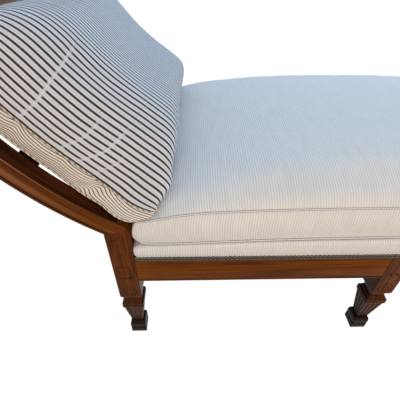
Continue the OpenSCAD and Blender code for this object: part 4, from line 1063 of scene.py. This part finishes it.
class RECAMIER_OT_deck(bpy.types.Operator):
    """Builds the stuffed deck and its cover: a notched plan carried up a rounded profile"""

    bl_idname = "recamier.deck"
    bl_label = "Deck"

    def execute(self, context):
        cloth = context.scene.recamier_cloth
        rng = np.random.default_rng(SEED)
        run = deck_loop(DECK_STEP)[2]
        wide, fine = PUCKER_RUNS
        noise = np.sin(run / wide) + 0.5 * np.sin(run / fine + rng.uniform(0, 6))
        noise = PUCKER * np.clip(noise, 0, 2)
        noise[-1] = noise[0]
        cotton = ribbed_cotton("Corded_cotton_deck", cloth)
        patches = deck_patches(True, RAIL_TOP + COVER_LOW, noise)
        dressed("deck_cover_sewn", patches, cotton, 60, "frame", "deck_cloth", "deck_cover")
        hair = loose_fibre("Curled_hair_stuffing", linear("#8d7a5c"), linear("#5b4a35"))
        patches = deck_patches(False, RAIL_TOP + PAD_LOW, None)
        sunk = np.array([0, 0, PAD_SUNK])
        patches = [(p - sunk * (p[..., 2:] > RAIL_TOP + PAD_LOW + 1), uv) for p, uv in patches]
        dressed("deck_pad_stuffed", patches, hair, 60, "frame", "stuffing", "deck_pad")
        return {"FINISHED"}


class RECAMIER_OT_webbing(bpy.types.Operator):
    """Builds the straps and the hessian under the deck, and the lining under the rails"""

    bl_idname = "recamier.webbing"
    bl_label = "Webbing and linings"

    def execute(self, context):
        trim, cloth = context.scene.recamier_trim, context.scene.recamier_cloth
        jute = woven("Jute_webbing", trim.jute, linear("#6f5733"), 0.0025)
        room = DEPTH - 2 * WEB_INSET
        strap = eased(rectangle(0, WEB_W, 0.05, WEB_T - 0.05), 0.5, 2)
        patches = []
        for i in range(WEB_LONG):
            y = -room / 2 + i * (room - WEB_W) / (WEB_LONG - 1)
            beside = abs(y + WEB_W / 2) + WEB_W / 2 > DECK_NOTCH - 1
            x0 = (DECK_LEFT if beside else DECK_TONGUE) + WEB_INSET
            patches += bar(strap, (x0, y, RAIL_TOP), (FOOT_END - WEB_INSET, y, RAIL_TOP), Y, UP)
        dressed("webbing_long_straps", patches, jute, 40, "frame", "webbing", "webbing_long")
        patches = []
        clear, z = (PITCH - LEG_W) / WEB_CROSS, RAIL_TOP + WEB_T
        for bay in range(2):
            for i in range(WEB_CROSS):
                x = bay * PITCH + HALF_LEG + (i + 0.5) * clear - WEB_W / 2
                patches += bar(strap, (x, -room / 2, z), (x, room / 2, z), X, UP)
        dressed("webbing_cross_straps", patches, jute, 40, "frame", "webbing", "webbing_cross")
        edge = WEB_INSET - WEB_SLACK
        x = np.linspace(DECK_TONGUE + edge, DECK_RIGHT - edge, 130)
        side = np.where(x < DECK_LEFT + edge, DECK_NOTCH - edge, DECK_FRONT - edge)
        y = np.linspace(-1, 1, 60)[None] * side[:, None]
        sacking = woven("Jute_hessian", linear("#b3925e"), linear("#71582f"), 0.0016)
        sheet = [self.level_patch(x[:, None], y, BED - HESSIAN_T / 2)]
        hessian = make_piece("hessian_sheet", sheet, sacking, 180, closed=False)
        stands_for(hessian, "frame", "hessian", "hessian")
        size = (2 * (DECK_FRONT - edge), x[-1] - x[0])
        self.stretch(hessian, HESSIAN_T, size, "webbing_cross_straps")
        cambric = woven("Black_cambric", cloth.lining, linear("#0d0c0c"), 0.001)
        lining = make_piece("dust_cover_lining", self.lining(), cambric, 180, closed=False)
        stands_for(lining, "frame", "dust_cloth", "dust_cover")
        size = (DEPTH - 2 * DUST_INSET, FOOT_END + HALF_LEG - 2 * DUST_INSET)
        self.stretch(lining, DUST_T, size, "front_rail_head_moulded")
        return {"FINISHED"}

    @staticmethod
    def stretch(piece, thickness, size, rests_on):
        """Gives a sheet its thickness. How large it is flat is not used."""
        wall = piece.modifiers.new("Thickness", "SOLIDIFY")
        wall.thickness, wall.offset = thickness * SHEET_SHARE * 0.001, 0

    @staticmethod
    def level_patch(x, y, z):
        points = points_of(x, y, z)
        return grid(points, points[..., :2] * 0.001)

    def lining(self):
        """The lining: a level sheet cut round the six legs."""
        low, high, legs = DUST_INSET - HALF_LEG, FOOT_END - DUST_INSET, PITCH * np.arange(3)
        cuts = np.concatenate([legs - LEG_ROOM, legs + LEG_ROOM])
        x = np.unique(np.concatenate([np.linspace(low, high, 120), cuts]))
        x = x[(x >= low) & (x <= high)]
        near = np.min(np.abs(x[:, None] - legs), axis=1) <= LEG_ROOM + 0.01
        inner, outer = HALF_DEPTH - LEG_W - 0.2, HALF_DEPTH - DUST_INSET
        z = RAIL_LOW - DUST_T / 2
        patches = [self.level_patch(x[:, None], np.linspace(-inner, inner, 50)[None], z)]
        for run in np.split(np.arange(len(x)), np.where(np.diff(near.astype(int)) != 0)[0] + 1):
            if near[run].all():
                continue
            these = x[max(run[0] - 1, 0) : min(run[-1] + 2, len(x)), None]
            for side in (-1, 1):
                y = np.sort(side * np.linspace(inner, outer, 5))
                patches.append(self.level_patch(these, y[None], z))
        return patches


class RECAMIER_OT_gimp(bpy.types.Operator):
    """Builds the braid: a ribbon with corded edges, and two pale threads that cross in diamonds"""

    bl_idname = "recamier.gimp"
    bl_label = "Braid"

    def execute(self, context):
        trim = context.scene.recamier_trim
        ground = spun_thread("Braid_ground", trim.braid, linear("#1c110a"))
        pale = spun_thread("Braid_thread", trim.thread, linear("#8f7448"))
        half, period = (RAIL_TOP - GIMP_LOW) / 2, trim.period * 1000
        front = [(DECK_LEFT, -HALF_DEPTH), (FOOT_END, -HALF_DEPTH)]
        foot = [(FOOT_END, -HALF_DEPTH + GIMP_T), (FOOT_END, HALF_DEPTH - GIMP_T)]
        section = ring(eased(rectangle(0.4 - half, half - 0.4, -GIMP_T, -0.75), 0.3, 2))
        for name, ends, flip in (("front", front, 1), ("rear", front, -1), ("foot", foot, 1)):
            start, end = (np.array([x, y * flip, (RAIL_TOP + GIMP_LOW) / 2]) for x, y in ends)
            size = np.linalg.norm(end - start)
            along = (end - start) / size
            axes = np.stack([along, [0, 0, 1.0], np.cross(along, [0, 0, 1.0]) * flip])
            step = np.linspace(0, size, int(size / period * 12))
            wave = np.cos(2 * np.pi * step / period)
            run = np.linspace(0, size, int(size / 3.2))[:, None]
            carried = points_of(run, section[None, :, 0], section[None, :, 1])
            points = start + carried @ axes
            base = [grid(points, flat_mm(run, section[None, :, 0])), *closed_ends(points)]
            cords = ((half - 0.5, 1.3), (half - 4.0, -1.3), (0.4 - half / 2, 1.2), (0.95 - half, 0.0))
            for across, swing in cords:
                line = np.stack([step, across + swing * wave, np.full(len(step), -0.85)], -1)
                base.append(tube(start + line @ axes, 0.85, 7, loop=False))
            dressed(f"gimp_{name}_ribbon", base, ground, 60, "frame", "gimp", f"gimp_{name}")
            threads = []
            for across, swing, thick in ((half - 2.2, 1.0, 0.7), (0.7 - half / 2, -1.0, 0.5)):
                line = np.stack([step, across + swing * wave, -0.65 + 0.35 * swing * wave], -1)
                radius = trim.thread_r * 1000 * thick
                threads.append(tube(start + line @ axes, radius, 6, loop=False, squash=0.85))
            braid = make_piece(f"gimp_{name}_threads", threads, pale, 60)
            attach(braid, "frame")
        return {"FINISHED"}


# Cushions


def draw_in(other, draw, cut):
    """How far an edge is pulled in: most in its middle, plus the rounding of its corners."""
    return draw * (1 - other**2) + cut * np.abs(other) ** CORNER_POWER


def near_seam(u, v):
    """1 along the seams of a cushion, and close to 0 over the rest of its plan."""
    return 1 - (1 - np.abs(u) ** EDGE_POWER) * (1 - np.abs(v) ** EDGE_POWER)


def seat_at(u, v, level, inset=0.0):
    """A point of the seat cushion: u and v run over its plan from -1 to 1, and level from -1 at the
    lower seam to 1 at the upper. Its crown falls off with powers of u and v, and its ends dip."""
    bulge = BULGE * (1 - level**2)
    spread = SEAT_SPREAD * (1 - level) / 2 - EDGE_INSET - inset + bulge
    half_l, half_w = (SEAT_X1 - SEAT_X0) / 2 + spread, HALF_DEPTH + spread
    cut = CORNER_CUT + SEAT_ROUND * (1 - level) / 2
    x = (SEAT_X0 + SEAT_X1) / 2 + u * (half_l - draw_in(v, SEAT_DRAW, cut))
    x = x - SEAT_PRESS * (1 - level**2) * np.maximum(0, -u) ** PRESS_POWER
    y = v * (half_w - draw_in(u, SEAT_DRAW, cut))
    base = deck_top(x) + REST
    dip = DIP * np.exp(-(((x - SEAT_X0) / DIP_LEN) ** 2))
    sides = np.sqrt(np.maximum(0, 1 - np.abs(v) ** SEAT_POWER_V))
    crown = CROWN * (1 - np.abs(u) ** SEAT_POWER_U) * sides
    low = base + PIPE_R * near_seam(u, v) + max(0, inset)
    high = base + WELT_R + BOXING - dip + crown - max(0, inset)
    return points_of(x, y, low + (high - low) * (level + 1) / 2)


def back_at(u, v, level, inset=0.0):
    """A point of the back cushion, which lies on the slats: u is 1 at its lower end, v across it.
    Its sides are tucked in below, its top sags a little towards them near the lower end, and its two
    lower corners stand out as a nose and sink into the seat."""
    bulge = BULGE * (1 - level**2)
    share = (1 + level) / 2
    tip = np.clip((np.abs(v) - TIP_START) / (1 - TIP_START), 0, 1) ** TIP_POWER
    tip = tip * ramp01(u, TIP_FROM - TIP_SHIFT * share, 1.0 + TIP_SHIFT * share)
    sag = share * np.exp(-(((u - SAG_U) / SAG_W) ** 2)) * np.abs(v) ** SAG_POWER
    nose = share * np.maximum(0, u) ** NOSE_POWER * np.exp(-(((np.abs(v) - NOSE_V) / NOSE_W) ** 2))
    ear = BACK_EAR * np.abs(v) ** EAR_POWER * np.maximum(0, u) ** EDGE_POWER
    half_w = (BACK_W - BACK_FLARE * level) / 2 - EDGE_INSET - inset + bulge
    tuck = BACK_TUCK * (1 - share) * (1 - ramp01(u, TUCK_FROM, TUCK_TO))
    half_w = half_w + (TIP_WIDE + TIP_SQUARE * share) * tip - tuck
    low = REST + WELT_R * near_seam(u, v) + EAR_LIFT * ear + max(0, inset)
    full = 1 + BACK_SLUMP * (u - BACK_FULL)
    ends = np.sqrt(np.maximum(0, 1 - np.maximum(0, u) ** LOW_END_POWER))
    ends = ends * np.maximum(0, 1 - np.maximum(0, -u) ** HIGH_END_POWER) ** HIGH_END_ROUND
    crown = BACK_CROWN * full * ends * np.maximum(0, 1 - v**EDGE_POWER) ** SIDE_ROUND
    high = REST + WELT_R + EAR_LIFT * ear + BACK_BOXING + crown - max(0, inset)
    n = low + (high - low) * share - (TIP_LOW + (TIP_HIGH - TIP_LOW) * share) * tip
    trim = EDGE_INSET + inset - bulge
    skew = BACK_SKEW * (v + 1) / 2
    reach = BACK_NOSE + BACK_LEAN * np.minimum(n, BACK_LEAN_H) + skew * share
    lean = BACK_LEAN + (1 - level) / 2 * (2 * BULGE + skew) / BACK_BOXING
    slant = min(0, inset) * (np.sqrt(1 + lean**2) - 1)
    s_low = trim + slant - reach - ear * math.cos(A0)
    s_high = BACK_LEN - trim
    s = (s_low + s_high) / 2 - u * ((s_high - s_low) / 2 - draw_in(v, BACK_DRAW, 0)) - NOSE_OUT * nose
    n = n - SAG * sag + NOSE * nose
    a = A0 + math.radians(BACK_LEAD) + s / SWEEP_IN
    r = SWEEP_IN - n
    y = v * (half_w - draw_in(u, BACK_DRAW, 0))
    return points_of(SWEEP_C[0] - r * np.sin(a), y, SWEEP_C[1] - r * np.cos(a))


def even_lines(at, count, along_u):
    """Grid numbers from -1 to 1 that lie evenly along the cushion's top, measured over its crown."""
    fine = np.sin(np.linspace(-np.pi / 2, np.pi / 2, 1201))
    line = at(fine, np.float64(0.0), 1.0) if along_u else at(np.float64(0.1), fine, 1.0)
    run = arc_length(line)
    return np.interp(np.linspace(0, run[-1], count), run, fine), run[-1]


def rim(u, v):
    """The edge of a cushion's grid, once round from the corner (-1, -1), as u and v."""
    one_u, one_v = np.ones(len(v)), np.ones(len(u))
    ru = np.concatenate([u[:-1], one_u[:-1], u[::-1][:-1], -one_u])
    rv = np.concatenate([-one_v[:-1], v[:-1], one_v[:-1], v[::-1]])
    return ru, rv


def cushion_patches(at, counts, rows, inset=0.0):
    """A boxed cushion: a crowned top, a flat bottom and a strip of boxing, cut flat in metres."""
    (u, long_), (v, wide) = even_lines(at, counts[0], True), even_lines(at, counts[1], False)
    flat_u, flat_v = np.linspace(0, long_, counts[0]), np.linspace(-wide / 2, wide / 2, counts[1])
    uv = np.stack(np.meshgrid(flat_u, flat_v, indexing="ij"), -1) * 0.001
    top = at(u[:, None], v[None], 1.0, inset)
    bottom = at(u[:, None], v[None], -1.0, inset)
    ru, rv = rim(u, v)
    level = np.linspace(-1, 1, rows)[:, None]
    boxing = at(ru[None], rv[None], level, inset)
    run = arc_length(boxing[rows // 2])
    height = arc_length(boxing[:, len(u) // 2])
    strip = points_of(run[None], height[:, None]) * 0.001
    return [grid(top, uv), grid(bottom, uv), grid(boxing, strip)], (u, v)


# Gathers of the back cushion's front boxing and creases of its top, each from one place (u, v,
# level) to another, with its depth as a share. The stripes rise to a gather by a lift on the flat
# cloth, and fall away over one length before it and another behind it, in m
GATHERS = (
    ((-0.13, -1.0, -0.5), (-0.22, -1.0, 1.0), 0.9),
    ((0.5, -1.0, -0.5), (0.6, -1.0, 1.0), 1.0),
    ((0.22, -1.0, -0.2), (0.2, -1.0, 1.0), 0.5),
)
LIFTS = ((0.03, 0.02, 0.012), (0.05, 0.016, 0.03), (0.014, 0.014, 0.01))
CREASES = (
    ((-0.25, -1.0, 1.0), (-0.43, -0.66, 1.0), 0.85),
    ((0.27, -1.0, 1.0), (0.42, -0.84, 1.0), 0.8),
    ((0.1, -1.0, 1.0), (0.16, -0.86, 1.0), 0.6),
    ((0.45, -1.0, 1.0), (0.5, -0.93, 1.0), 0.5),
)
GATHER_FULL, GATHER_DEEP = 2.0, 5.5
# Zips, in mm: half width and two faces of the tape and of a tooth, how far a tooth reaches, and the
# distance from tooth to tooth
TAPE, TOOTH, TOOTH_REACH, TOOTH_STEP = (2.3, -1.4, -0.1), (0.45, -0.2, 0.4), (0.25, 1.5), 1.25


def gather(patch, u):
    """Draws the stripes of a boxing twice as close, since its cloth is gathered, and bends them to
    the upper seam at each gather, gently on one side and sharply on the other."""
    points, uv = patch
    uv = uv.copy()
    run = uv[0, :, 0]
    uv[..., 1] *= GATHER_FULL
    for ((u0, _, _), (u1, _, _), _), (lift, before, behind) in zip(GATHERS, LIFTS):
        share = np.linspace(0, 1, len(uv))[:, None]
        off = run[None] - np.interp(u0 + (u1 - u0) * share, u, run[: len(u)])
        uv[..., 1] -= lift * np.exp(-np.abs(off) / np.where(off < 0, before, behind))
    return points, uv


def set_co(piece, co):
    piece.data.vertices.foreach_set("co", co.ravel())
    piece.data.update()


def get_co(mesh):
    co = np.zeros(len(mesh.vertices) * 3)
    mesh.vertices.foreach_get("co", co)
    return co.reshape(-1, 3)


def vertex_normals(mesh):
    n = np.zeros(len(mesh.vertices) * 3)
    mesh.vertex_normals.foreach_get("vector", n)
    return n.reshape(-1, 3)


def inflate(piece, held, pressure, slack, cap_out, cap_in, seed):
    """Fills a cover: cloth held where held is 1, cut larger by slack and blown up for 20 frames.
    No point then moves further than its caps, along its normal or across it."""
    start = get_co(piece.data)
    normal = vertex_normals(piece.data)
    rng = np.random.default_rng(seed)
    loose = 1 - held
    set_co(piece, start + normal * (rng.standard_normal(len(start)) * WRINKLE * loose)[:, None])
    group = piece.vertex_groups.new(name="Seams")
    for weight in np.unique(held):
        if weight > 0:
            group.add(np.where(held == weight)[0].tolist(), float(weight), "REPLACE")
    cloth = piece.modifiers.new("Filling", "CLOTH")
    for key, value in CLOTH.items():
        setattr(cloth.settings, key, value)
    cloth.settings.vertex_group_mass = group.name
    cloth.settings.uniform_pressure_force = pressure
    cloth.settings.shrink_min = -slack
    cloth.settings.effector_weights.gravity = 0
    cloth.collision_settings.use_collision = False
    cloth.collision_settings.use_self_collision = False
    scene = bpy.context.scene
    cloth.point_cache.frame_start, cloth.point_cache.frame_end = 1, FRAMES
    for f in range(1, FRAMES + 1):
        scene.frame_set(f)
    shaped = piece.evaluated_get(bpy.context.evaluated_depsgraph_get())
    moved = get_co(shaped.data) - start
    piece.modifiers.remove(cloth)
    piece.vertex_groups.remove(group)
    scene.frame_set(1)
    out = (moved * normal).sum(1)
    across = moved - out[:, None] * normal
    out = np.where(out > 0, cap_out * np.tanh(out / cap_out), cap_in * np.tanh(out / cap_in))
    size = np.linalg.norm(across, axis=1)
    across *= (np.minimum(size, MOST_ACROSS) / np.maximum(size, 1e-9))[:, None]
    set_co(piece, start + out[:, None] * normal + across)


def subdivide(piece, levels=1):
    smooth = piece.modifiers.new("Smooth", "SUBSURF")
    smooth.levels = smooth.render_levels = levels


def welt_path(at, u, v, level, smoothing):
    """The line of a welt outside a seam, with its corners eased by averaging neighbours."""
    ru, rv = rim(u, v)
    path = at(ru[:-1], rv[:-1], float(level), PIPE_SINK - PIPE_R)
    run = arc_length(np.concatenate([path, path[:1]]))
    even = np.linspace(0, run[-1], int(run[-1] / 3.5) + 1)[:-1]
    closed = np.concatenate([path, path[:1]])
    path = np.stack([np.interp(even, run, closed[:, i]) for i in range(3)], -1)
    for _ in range(smoothing):
        path = 0.5 * path + 0.25 * (np.roll(path, 1, 0) + np.roll(path, -1, 0))
    return path


def zip_patches(at, v0, v1, up_angle, count):
    """A zip in the middle of the boxing at the end u = -1: its tape, and its teeth, each a short
    ring of four sides that is closed at both ends, by turns on one side and the other."""
    v = np.linspace(v0, v1, count)
    middle = at(np.full(count, -1.0), v, 0.0, -0.3)
    up = np.array([math.sin(up_angle), 0, math.cos(up_angle)])
    out = np.array([-math.cos(up_angle), 0, math.sin(up_angle)])
    w, t0, t1 = TAPE
    section = ring(eased(rectangle(-w, w, t0, t1), 0.4, 2))
    points = middle[:, None] + section[None, :, :1] * up + section[None, :, 1:] * out
    tape = [grid(points, flat_mm(middle[:, 1][:, None], section[None, :, 0])), *closed_ends(points)]
    run = arc_length(middle)
    even = np.arange(2, run[-1] - 2, TOOTH_STEP)
    place = np.stack([np.interp(even, run, middle[:, i]) for i in range(3)], -1)
    side = np.where(np.arange(len(place)) % 2 == 0, 1.0, -1.0)
    w, t0, t1 = TOOTH
    square = ring(np.array(rectangle(-w, w, t0, t1)))
    square = square[:, :1] * np.array([0, 1.0, 0]) + square[:, 1:] * out
    ends = [place[:, None] + (side * reach)[:, None, None] * up + square for reach in TOOTH_REACH]
    centre = [np.broadcast_to(end.mean(1, keepdims=True), end.shape) for end in ends]
    teeth = np.stack([centre[0], *ends, centre[1]], 1)
    return tape, [grid(tooth, (0, 0)) for tooth in teeth]


def nearest_on(points, path):
    """Distance from each point to the nearest of a path's points."""
    best = np.full(len(points), 1e9)
    for chunk in np.array_split(path, max(1, len(path) // 200)):
        d = np.linalg.norm(points[:, None] - chunk[None], axis=-1).min(1)
        best = np.minimum(best, d)
    return best


def held_weights(piece, at, lines, underside):
    """1 on the seams and on the faces that look the way of the underside, 0 elsewhere."""
    ru, rv = rim(*lines)
    co = get_co(piece.data)
    seams = np.concatenate([to_row(at(ru, rv, level)) for level in (-1.0, 1.0)])
    near = nearest_on(co, seams)
    held = np.where(near < 0.0015, 1.0, 0.0)
    return np.where(vertex_normals(piece.data) @ underside > 0.8, 1.0, held)


def fill_cushion(name, slot, at, lines, counts, inset, smoothing, piping, zipped, angle, suffix=""):
    """What both cushions have beside their cover: a filling set in by inset, a welt along each seam
    and a zip over the share zipped of the hidden end."""
    body = f"{name}_cushion"
    patches, _ = cushion_patches(at, counts, 5, inset)
    case = loose_fibre("Downproof_case" + suffix, linear("#e4dccb"), linear("#cfc4ad"))
    dressed(f"{body}_filling", patches, case, 180, body, "stuffing", f"{body}_fill")
    for level, side in ((1, "top"), (-1, "bottom")):
        line, node = tube(welt_path(at, *lines, level, smoothing), PIPE_R, 12), f"{name}_welt_{side}"
        dressed(f"{node}_piped", [line], piping, 180, body, slot, node)
    tape, teeth = zip_patches(at, -zipped, zipped, angle, 40)
    cloth = woven("Zip_tape" + suffix, linear("#cfc3ad"), linear("#9c9079"), 0.001)
    dressed(f"{name}_zip_tape", tape, cloth, 40, body, "zip_metal", f"{name}_zip")
    brass = drawn_metal("Brass_zip" + suffix, linear("#b08d4c"), 0.35)
    row = make_piece(f"{name}_zip_teeth", teeth, brass)
    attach(row, body)


class RECAMIER_OT_seat_cushion(bpy.types.Operator):
    """Builds the seat cushion: a crowned boxed cover blown up as cloth, its filling, welts and zip"""

    bl_idname = "recamier.seat_cushion"
    bl_label = "Seat cushion"

    def execute(self, context):
        cloth = context.scene.recamier_cloth
        cotton = ribbed_cotton("Corded_cotton", cloth)
        patches, lines = cushion_patches(seat_at, (110, 64), 9)
        cover = make_piece("seat_cushion_sewn", patches, cotton, 180)
        held = held_weights(cover, seat_at, lines, np.array([0, 0, -1.0]))
        inflate(cover, held, 2.5, cloth.slack, 0.006, 0.0012, SEED)
        subdivide(cover)
        stands_for(cover, "seat_cushion", "seat_cloth", "seat_cushion_cover")
        piping = ribbed_cotton("Corded_cotton_piping", cloth, piping=True)
        inset = COVER_T + FILL_GAP + 0.6
        fill_cushion("seat", "seat_cloth", seat_at, lines, (50, 30), inset, 6, piping, 0.58, 0.0)
        return {"FINISHED"}


class RECAMIER_OT_back_cushion(bpy.types.Operator):
    """Builds the back cushion: a full boxed cover blown up as cloth, its filling, welts and zip"""

    bl_idname = "recamier.back_cushion"
    bl_label = "Back cushion"

    def execute(self, context):
        cloth = context.scene.recamier_cloth
        (top, bottom, boxing), lines = cushion_patches(back_at, (72, 92), 9)
        points, uv = gather(boxing, lines[0])
        creased = self.flat_creases(top[1], lines)
        ticking = striped_ticking("Striped_ticking", cloth, cloth.ticking, cloth.stripe, creased)
        strip = striped_ticking("Striped_ticking_boxing", cloth, cloth.boxing, cloth.stripe_faded)
        cover = make_piece("back_cushion_sewn", [top, bottom, (points, uv, 1)], (ticking, strip), 180)
        folds, creases = self.folds(cover)
        a = A0 + BACK_LEN / 2 / SWEEP_IN
        held = held_weights(cover, back_at, lines, np.array([-math.sin(a), 0, -math.cos(a)]))
        inflate(cover, held, 2.0, cloth.slack * 1.6, 0.007, 0.0012, SEED + 1)
        dent = 0.001 * GATHER_DEEP * folds * (1 - 1.1 * (1 - folds)) + 0.0018 * creases
        set_co(cover, get_co(cover.data) - vertex_normals(cover.data) * dent[:, None])
        subdivide(cover)
        stands_for(cover, "back_cushion", "ticking", "back_cushion_cover")
        piping = striped_ticking("Ticking_piping", cloth, linear("#e4d8c4"), linear("#4f4134"), piping=True)
        end = A0 + math.radians(BACK_LEAD) + BACK_LEN / SWEEP_IN
        inset = COVER_T + GATHER_DEEP
        fill_cushion("back", "ticking", back_at, lines, (36, 40), inset, 4, piping, 0.49, end, "_back")
        return {"FINISHED"}

    @staticmethod
    def flat_creases(uv, lines):
        """Where the creases of the top lie on its flat cloth, in metres."""
        def place(u, v):
            return float(np.interp(u, lines[0], uv[:, 0, 0])), float(np.interp(v, lines[1], uv[0, :, 1]))

        return [(place(*start[:2]), place(*end[:2]), depth) for start, end, depth in CREASES]

    @staticmethod
    def folds(cover):
        """How near each point lies to the gathers of the front boxing, and to the creases of the top."""
        co = get_co(cover.data)
        share = np.linspace(0, 1, 60)
        fields = []
        for lines, width in ((GATHERS, 0.007), (CREASES, 0.0055)):
            field = np.zeros(len(co))
            for (u0, v0, level0), (u1, v1, level1), depth in lines:
                u, v, level = (a + (b - a) * share for a, b in ((u0, u1), (v0, v1), (level0, level1)))
                near = nearest_on(co, to_row(back_at(u, v, level)))
                field = np.maximum(field, depth * np.exp(-((near / width) ** 2)))
            fields.append(field)
        return fields


# Stage


def seen_directly(tree):
    """1 for what the camera sees, itself, in gloss or through glass, and 0 for the light it gives."""
    path = add(tree, "ShaderNodeLightPath").outputs
    seen = maths(tree, "MAXIMUM", path["Is Camera Ray"], path["Is Glossy Ray"])
    return maths(tree, "MAXIMUM", seen, path["Is Transmission Ray"])


def backdrop_white(name, share):
    """Matt white paper: seen by the camera and in gloss it is mostly its own white, with the
    object's shadow left in it, and it lights the object as plain paper does."""
    material, tree = new_material(name)
    paper = add(tree, "ShaderNodeBsdfDiffuse", links={"Color": linear("#aaa7a2")})
    glow = add(tree, "ShaderNodeEmission", links={"Color": (1, 1, 1, 1), "Strength": 1.075})
    share = maths(tree, "MULTIPLY", seen_directly(tree), share)
    mixed = add(tree, "ShaderNodeMixShader", links={0: share, 1: paper.outputs[0], 2: glow.outputs[0]})
    add(tree, "ShaderNodeOutputMaterial", links={"Surface": mixed.outputs[0]})
    return material


class RECAMIER_OT_stage(bpy.types.Operator):
    """Sets the white floor, the soft lights, the world and the camera"""

    bl_idname = "recamier.stage"
    bl_label = "Stage"

    def execute(self, context):
        scene = context.scene
        mesh = bpy.data.meshes.new("floor")
        mesh.from_pydata([(-9, -9, 0), (9, -9, 0), (9, 9, 0), (-9, 9, 0)], [], [(0, 1, 2, 3)])
        mesh.materials.append(backdrop_white("White_paper", 0.93))
        floor = bpy.data.objects.new("floor", mesh)
        scene.collection.objects.link(floor)
        lamps = (
            ("window_behind", (0.9, 2.1, 2.4), (0.0, 0.1, 0.4), 2.2, 54.0, "#bcdcff"),
            ("front_fill", (-0.1, -2.2, 1.05), (0.0, -0.2, 0.35), 1.3, 25.0, "#ffe0c0"),
            ("right_fill", (2.6, -1.0, 1.6), (0.2, 0.0, 0.4), 1.6, 8.5, "#fff0e0"),
        )
        for name, place, aim, size, power, tint in lamps:
            lamp = bpy.data.lights.new(name, "AREA")
            lamp.shape, lamp.size, lamp.energy = "SQUARE", size, power
            lamp.color = linear(tint)[:3]
            holder = bpy.data.objects.new(name, lamp)
            scene.collection.objects.link(holder)
            holder.location = place
            holder.rotation_euler = (Vector(aim) - Vector(place)).to_track_quat("-Z", "Y").to_euler()
        world = bpy.data.worlds.new("White_room")
        world.use_nodes = True
        tree = world.node_tree
        tree.nodes.clear()
        tone = blend_colours(tree, seen_directly(tree), linear("#96a8b9"), (1, 1, 1, 1))
        sky = add(tree, "ShaderNodeBackground", links={"Color": tone, "Strength": 1.0})
        add(tree, "ShaderNodeOutputWorld", links={"Surface": sky.outputs[0]})
        scene.world = world
        camera = bpy.data.cameras.new("photograph")
        camera.lens, camera.sensor_width = LENS, 36.0
        holder = bpy.data.objects.new("photograph", camera)
        scene.collection.objects.link(holder)
        turn = Matrix((CAMERA_RIGHT, -Vector(CAMERA_DOWN), -Vector(CAMERA_AHEAD))).transposed()
        holder.rotation_euler = turn.to_euler()
        holder.location = CAMERA_AT
        scene.camera = holder
        scene.view_settings.view_transform = "Standard"
        return {"FINISHED"}


STEPS = (
    RECAMIER_OT_stage,
    RECAMIER_OT_legs,
    RECAMIER_OT_rails,
    RECAMIER_OT_head_end,
    RECAMIER_OT_joinery,
    RECAMIER_OT_webbing,
    RECAMIER_OT_deck,
    RECAMIER_OT_gimp,
    RECAMIER_OT_seat_cushion,
    RECAMIER_OT_back_cushion,
)
GROUPS = (("recamier_wood", RecamierWood), ("recamier_cloth", RecamierCloth), ("recamier_trim", RecamierTrim))


class RECAMIER_PT_panel(bpy.types.Panel):
    """Lists the sizes, the colours and the steps of the recamier"""

    bl_label = "Recamier"
    bl_idname = "RECAMIER_PT_panel"
    bl_space_type = "VIEW_3D"
    bl_region_type = "UI"
    bl_category = "Recamier"

    def draw(self, context):
        for key, group in GROUPS:
            box = self.layout.box()
            for name in group.__annotations__:
                box.prop(getattr(context.scene, key), name)
        for step in STEPS:
            self.layout.operator(step.bl_idname)


def register():
    for key, group in GROUPS:
        bpy.utils.register_class(group)
        setattr(bpy.types.Scene, key, bpy.props.PointerProperty(type=group))
    for cls in (*STEPS, RECAMIER_PT_panel):
        bpy.utils.register_class(cls)


def unregister():
    for cls in (RECAMIER_PT_panel, *reversed(STEPS)):
        bpy.utils.unregister_class(cls)
    for key, group in reversed(GROUPS):
        delattr(bpy.types.Scene, key)
        bpy.utils.unregister_class(group)


def main():
    """Builds everything in order."""
    register()
    bpy.ops.recamier.stage()
    bpy.ops.recamier.legs()
    bpy.ops.recamier.rails()
    bpy.ops.recamier.head_end()
    bpy.ops.recamier.joinery()
    bpy.ops.recamier.webbing()
    bpy.ops.recamier.deck()
    bpy.ops.recamier.gimp()
    bpy.ops.recamier.seat_cushion()
    bpy.ops.recamier.back_cushion()


if __name__ == "__main__":
    main()
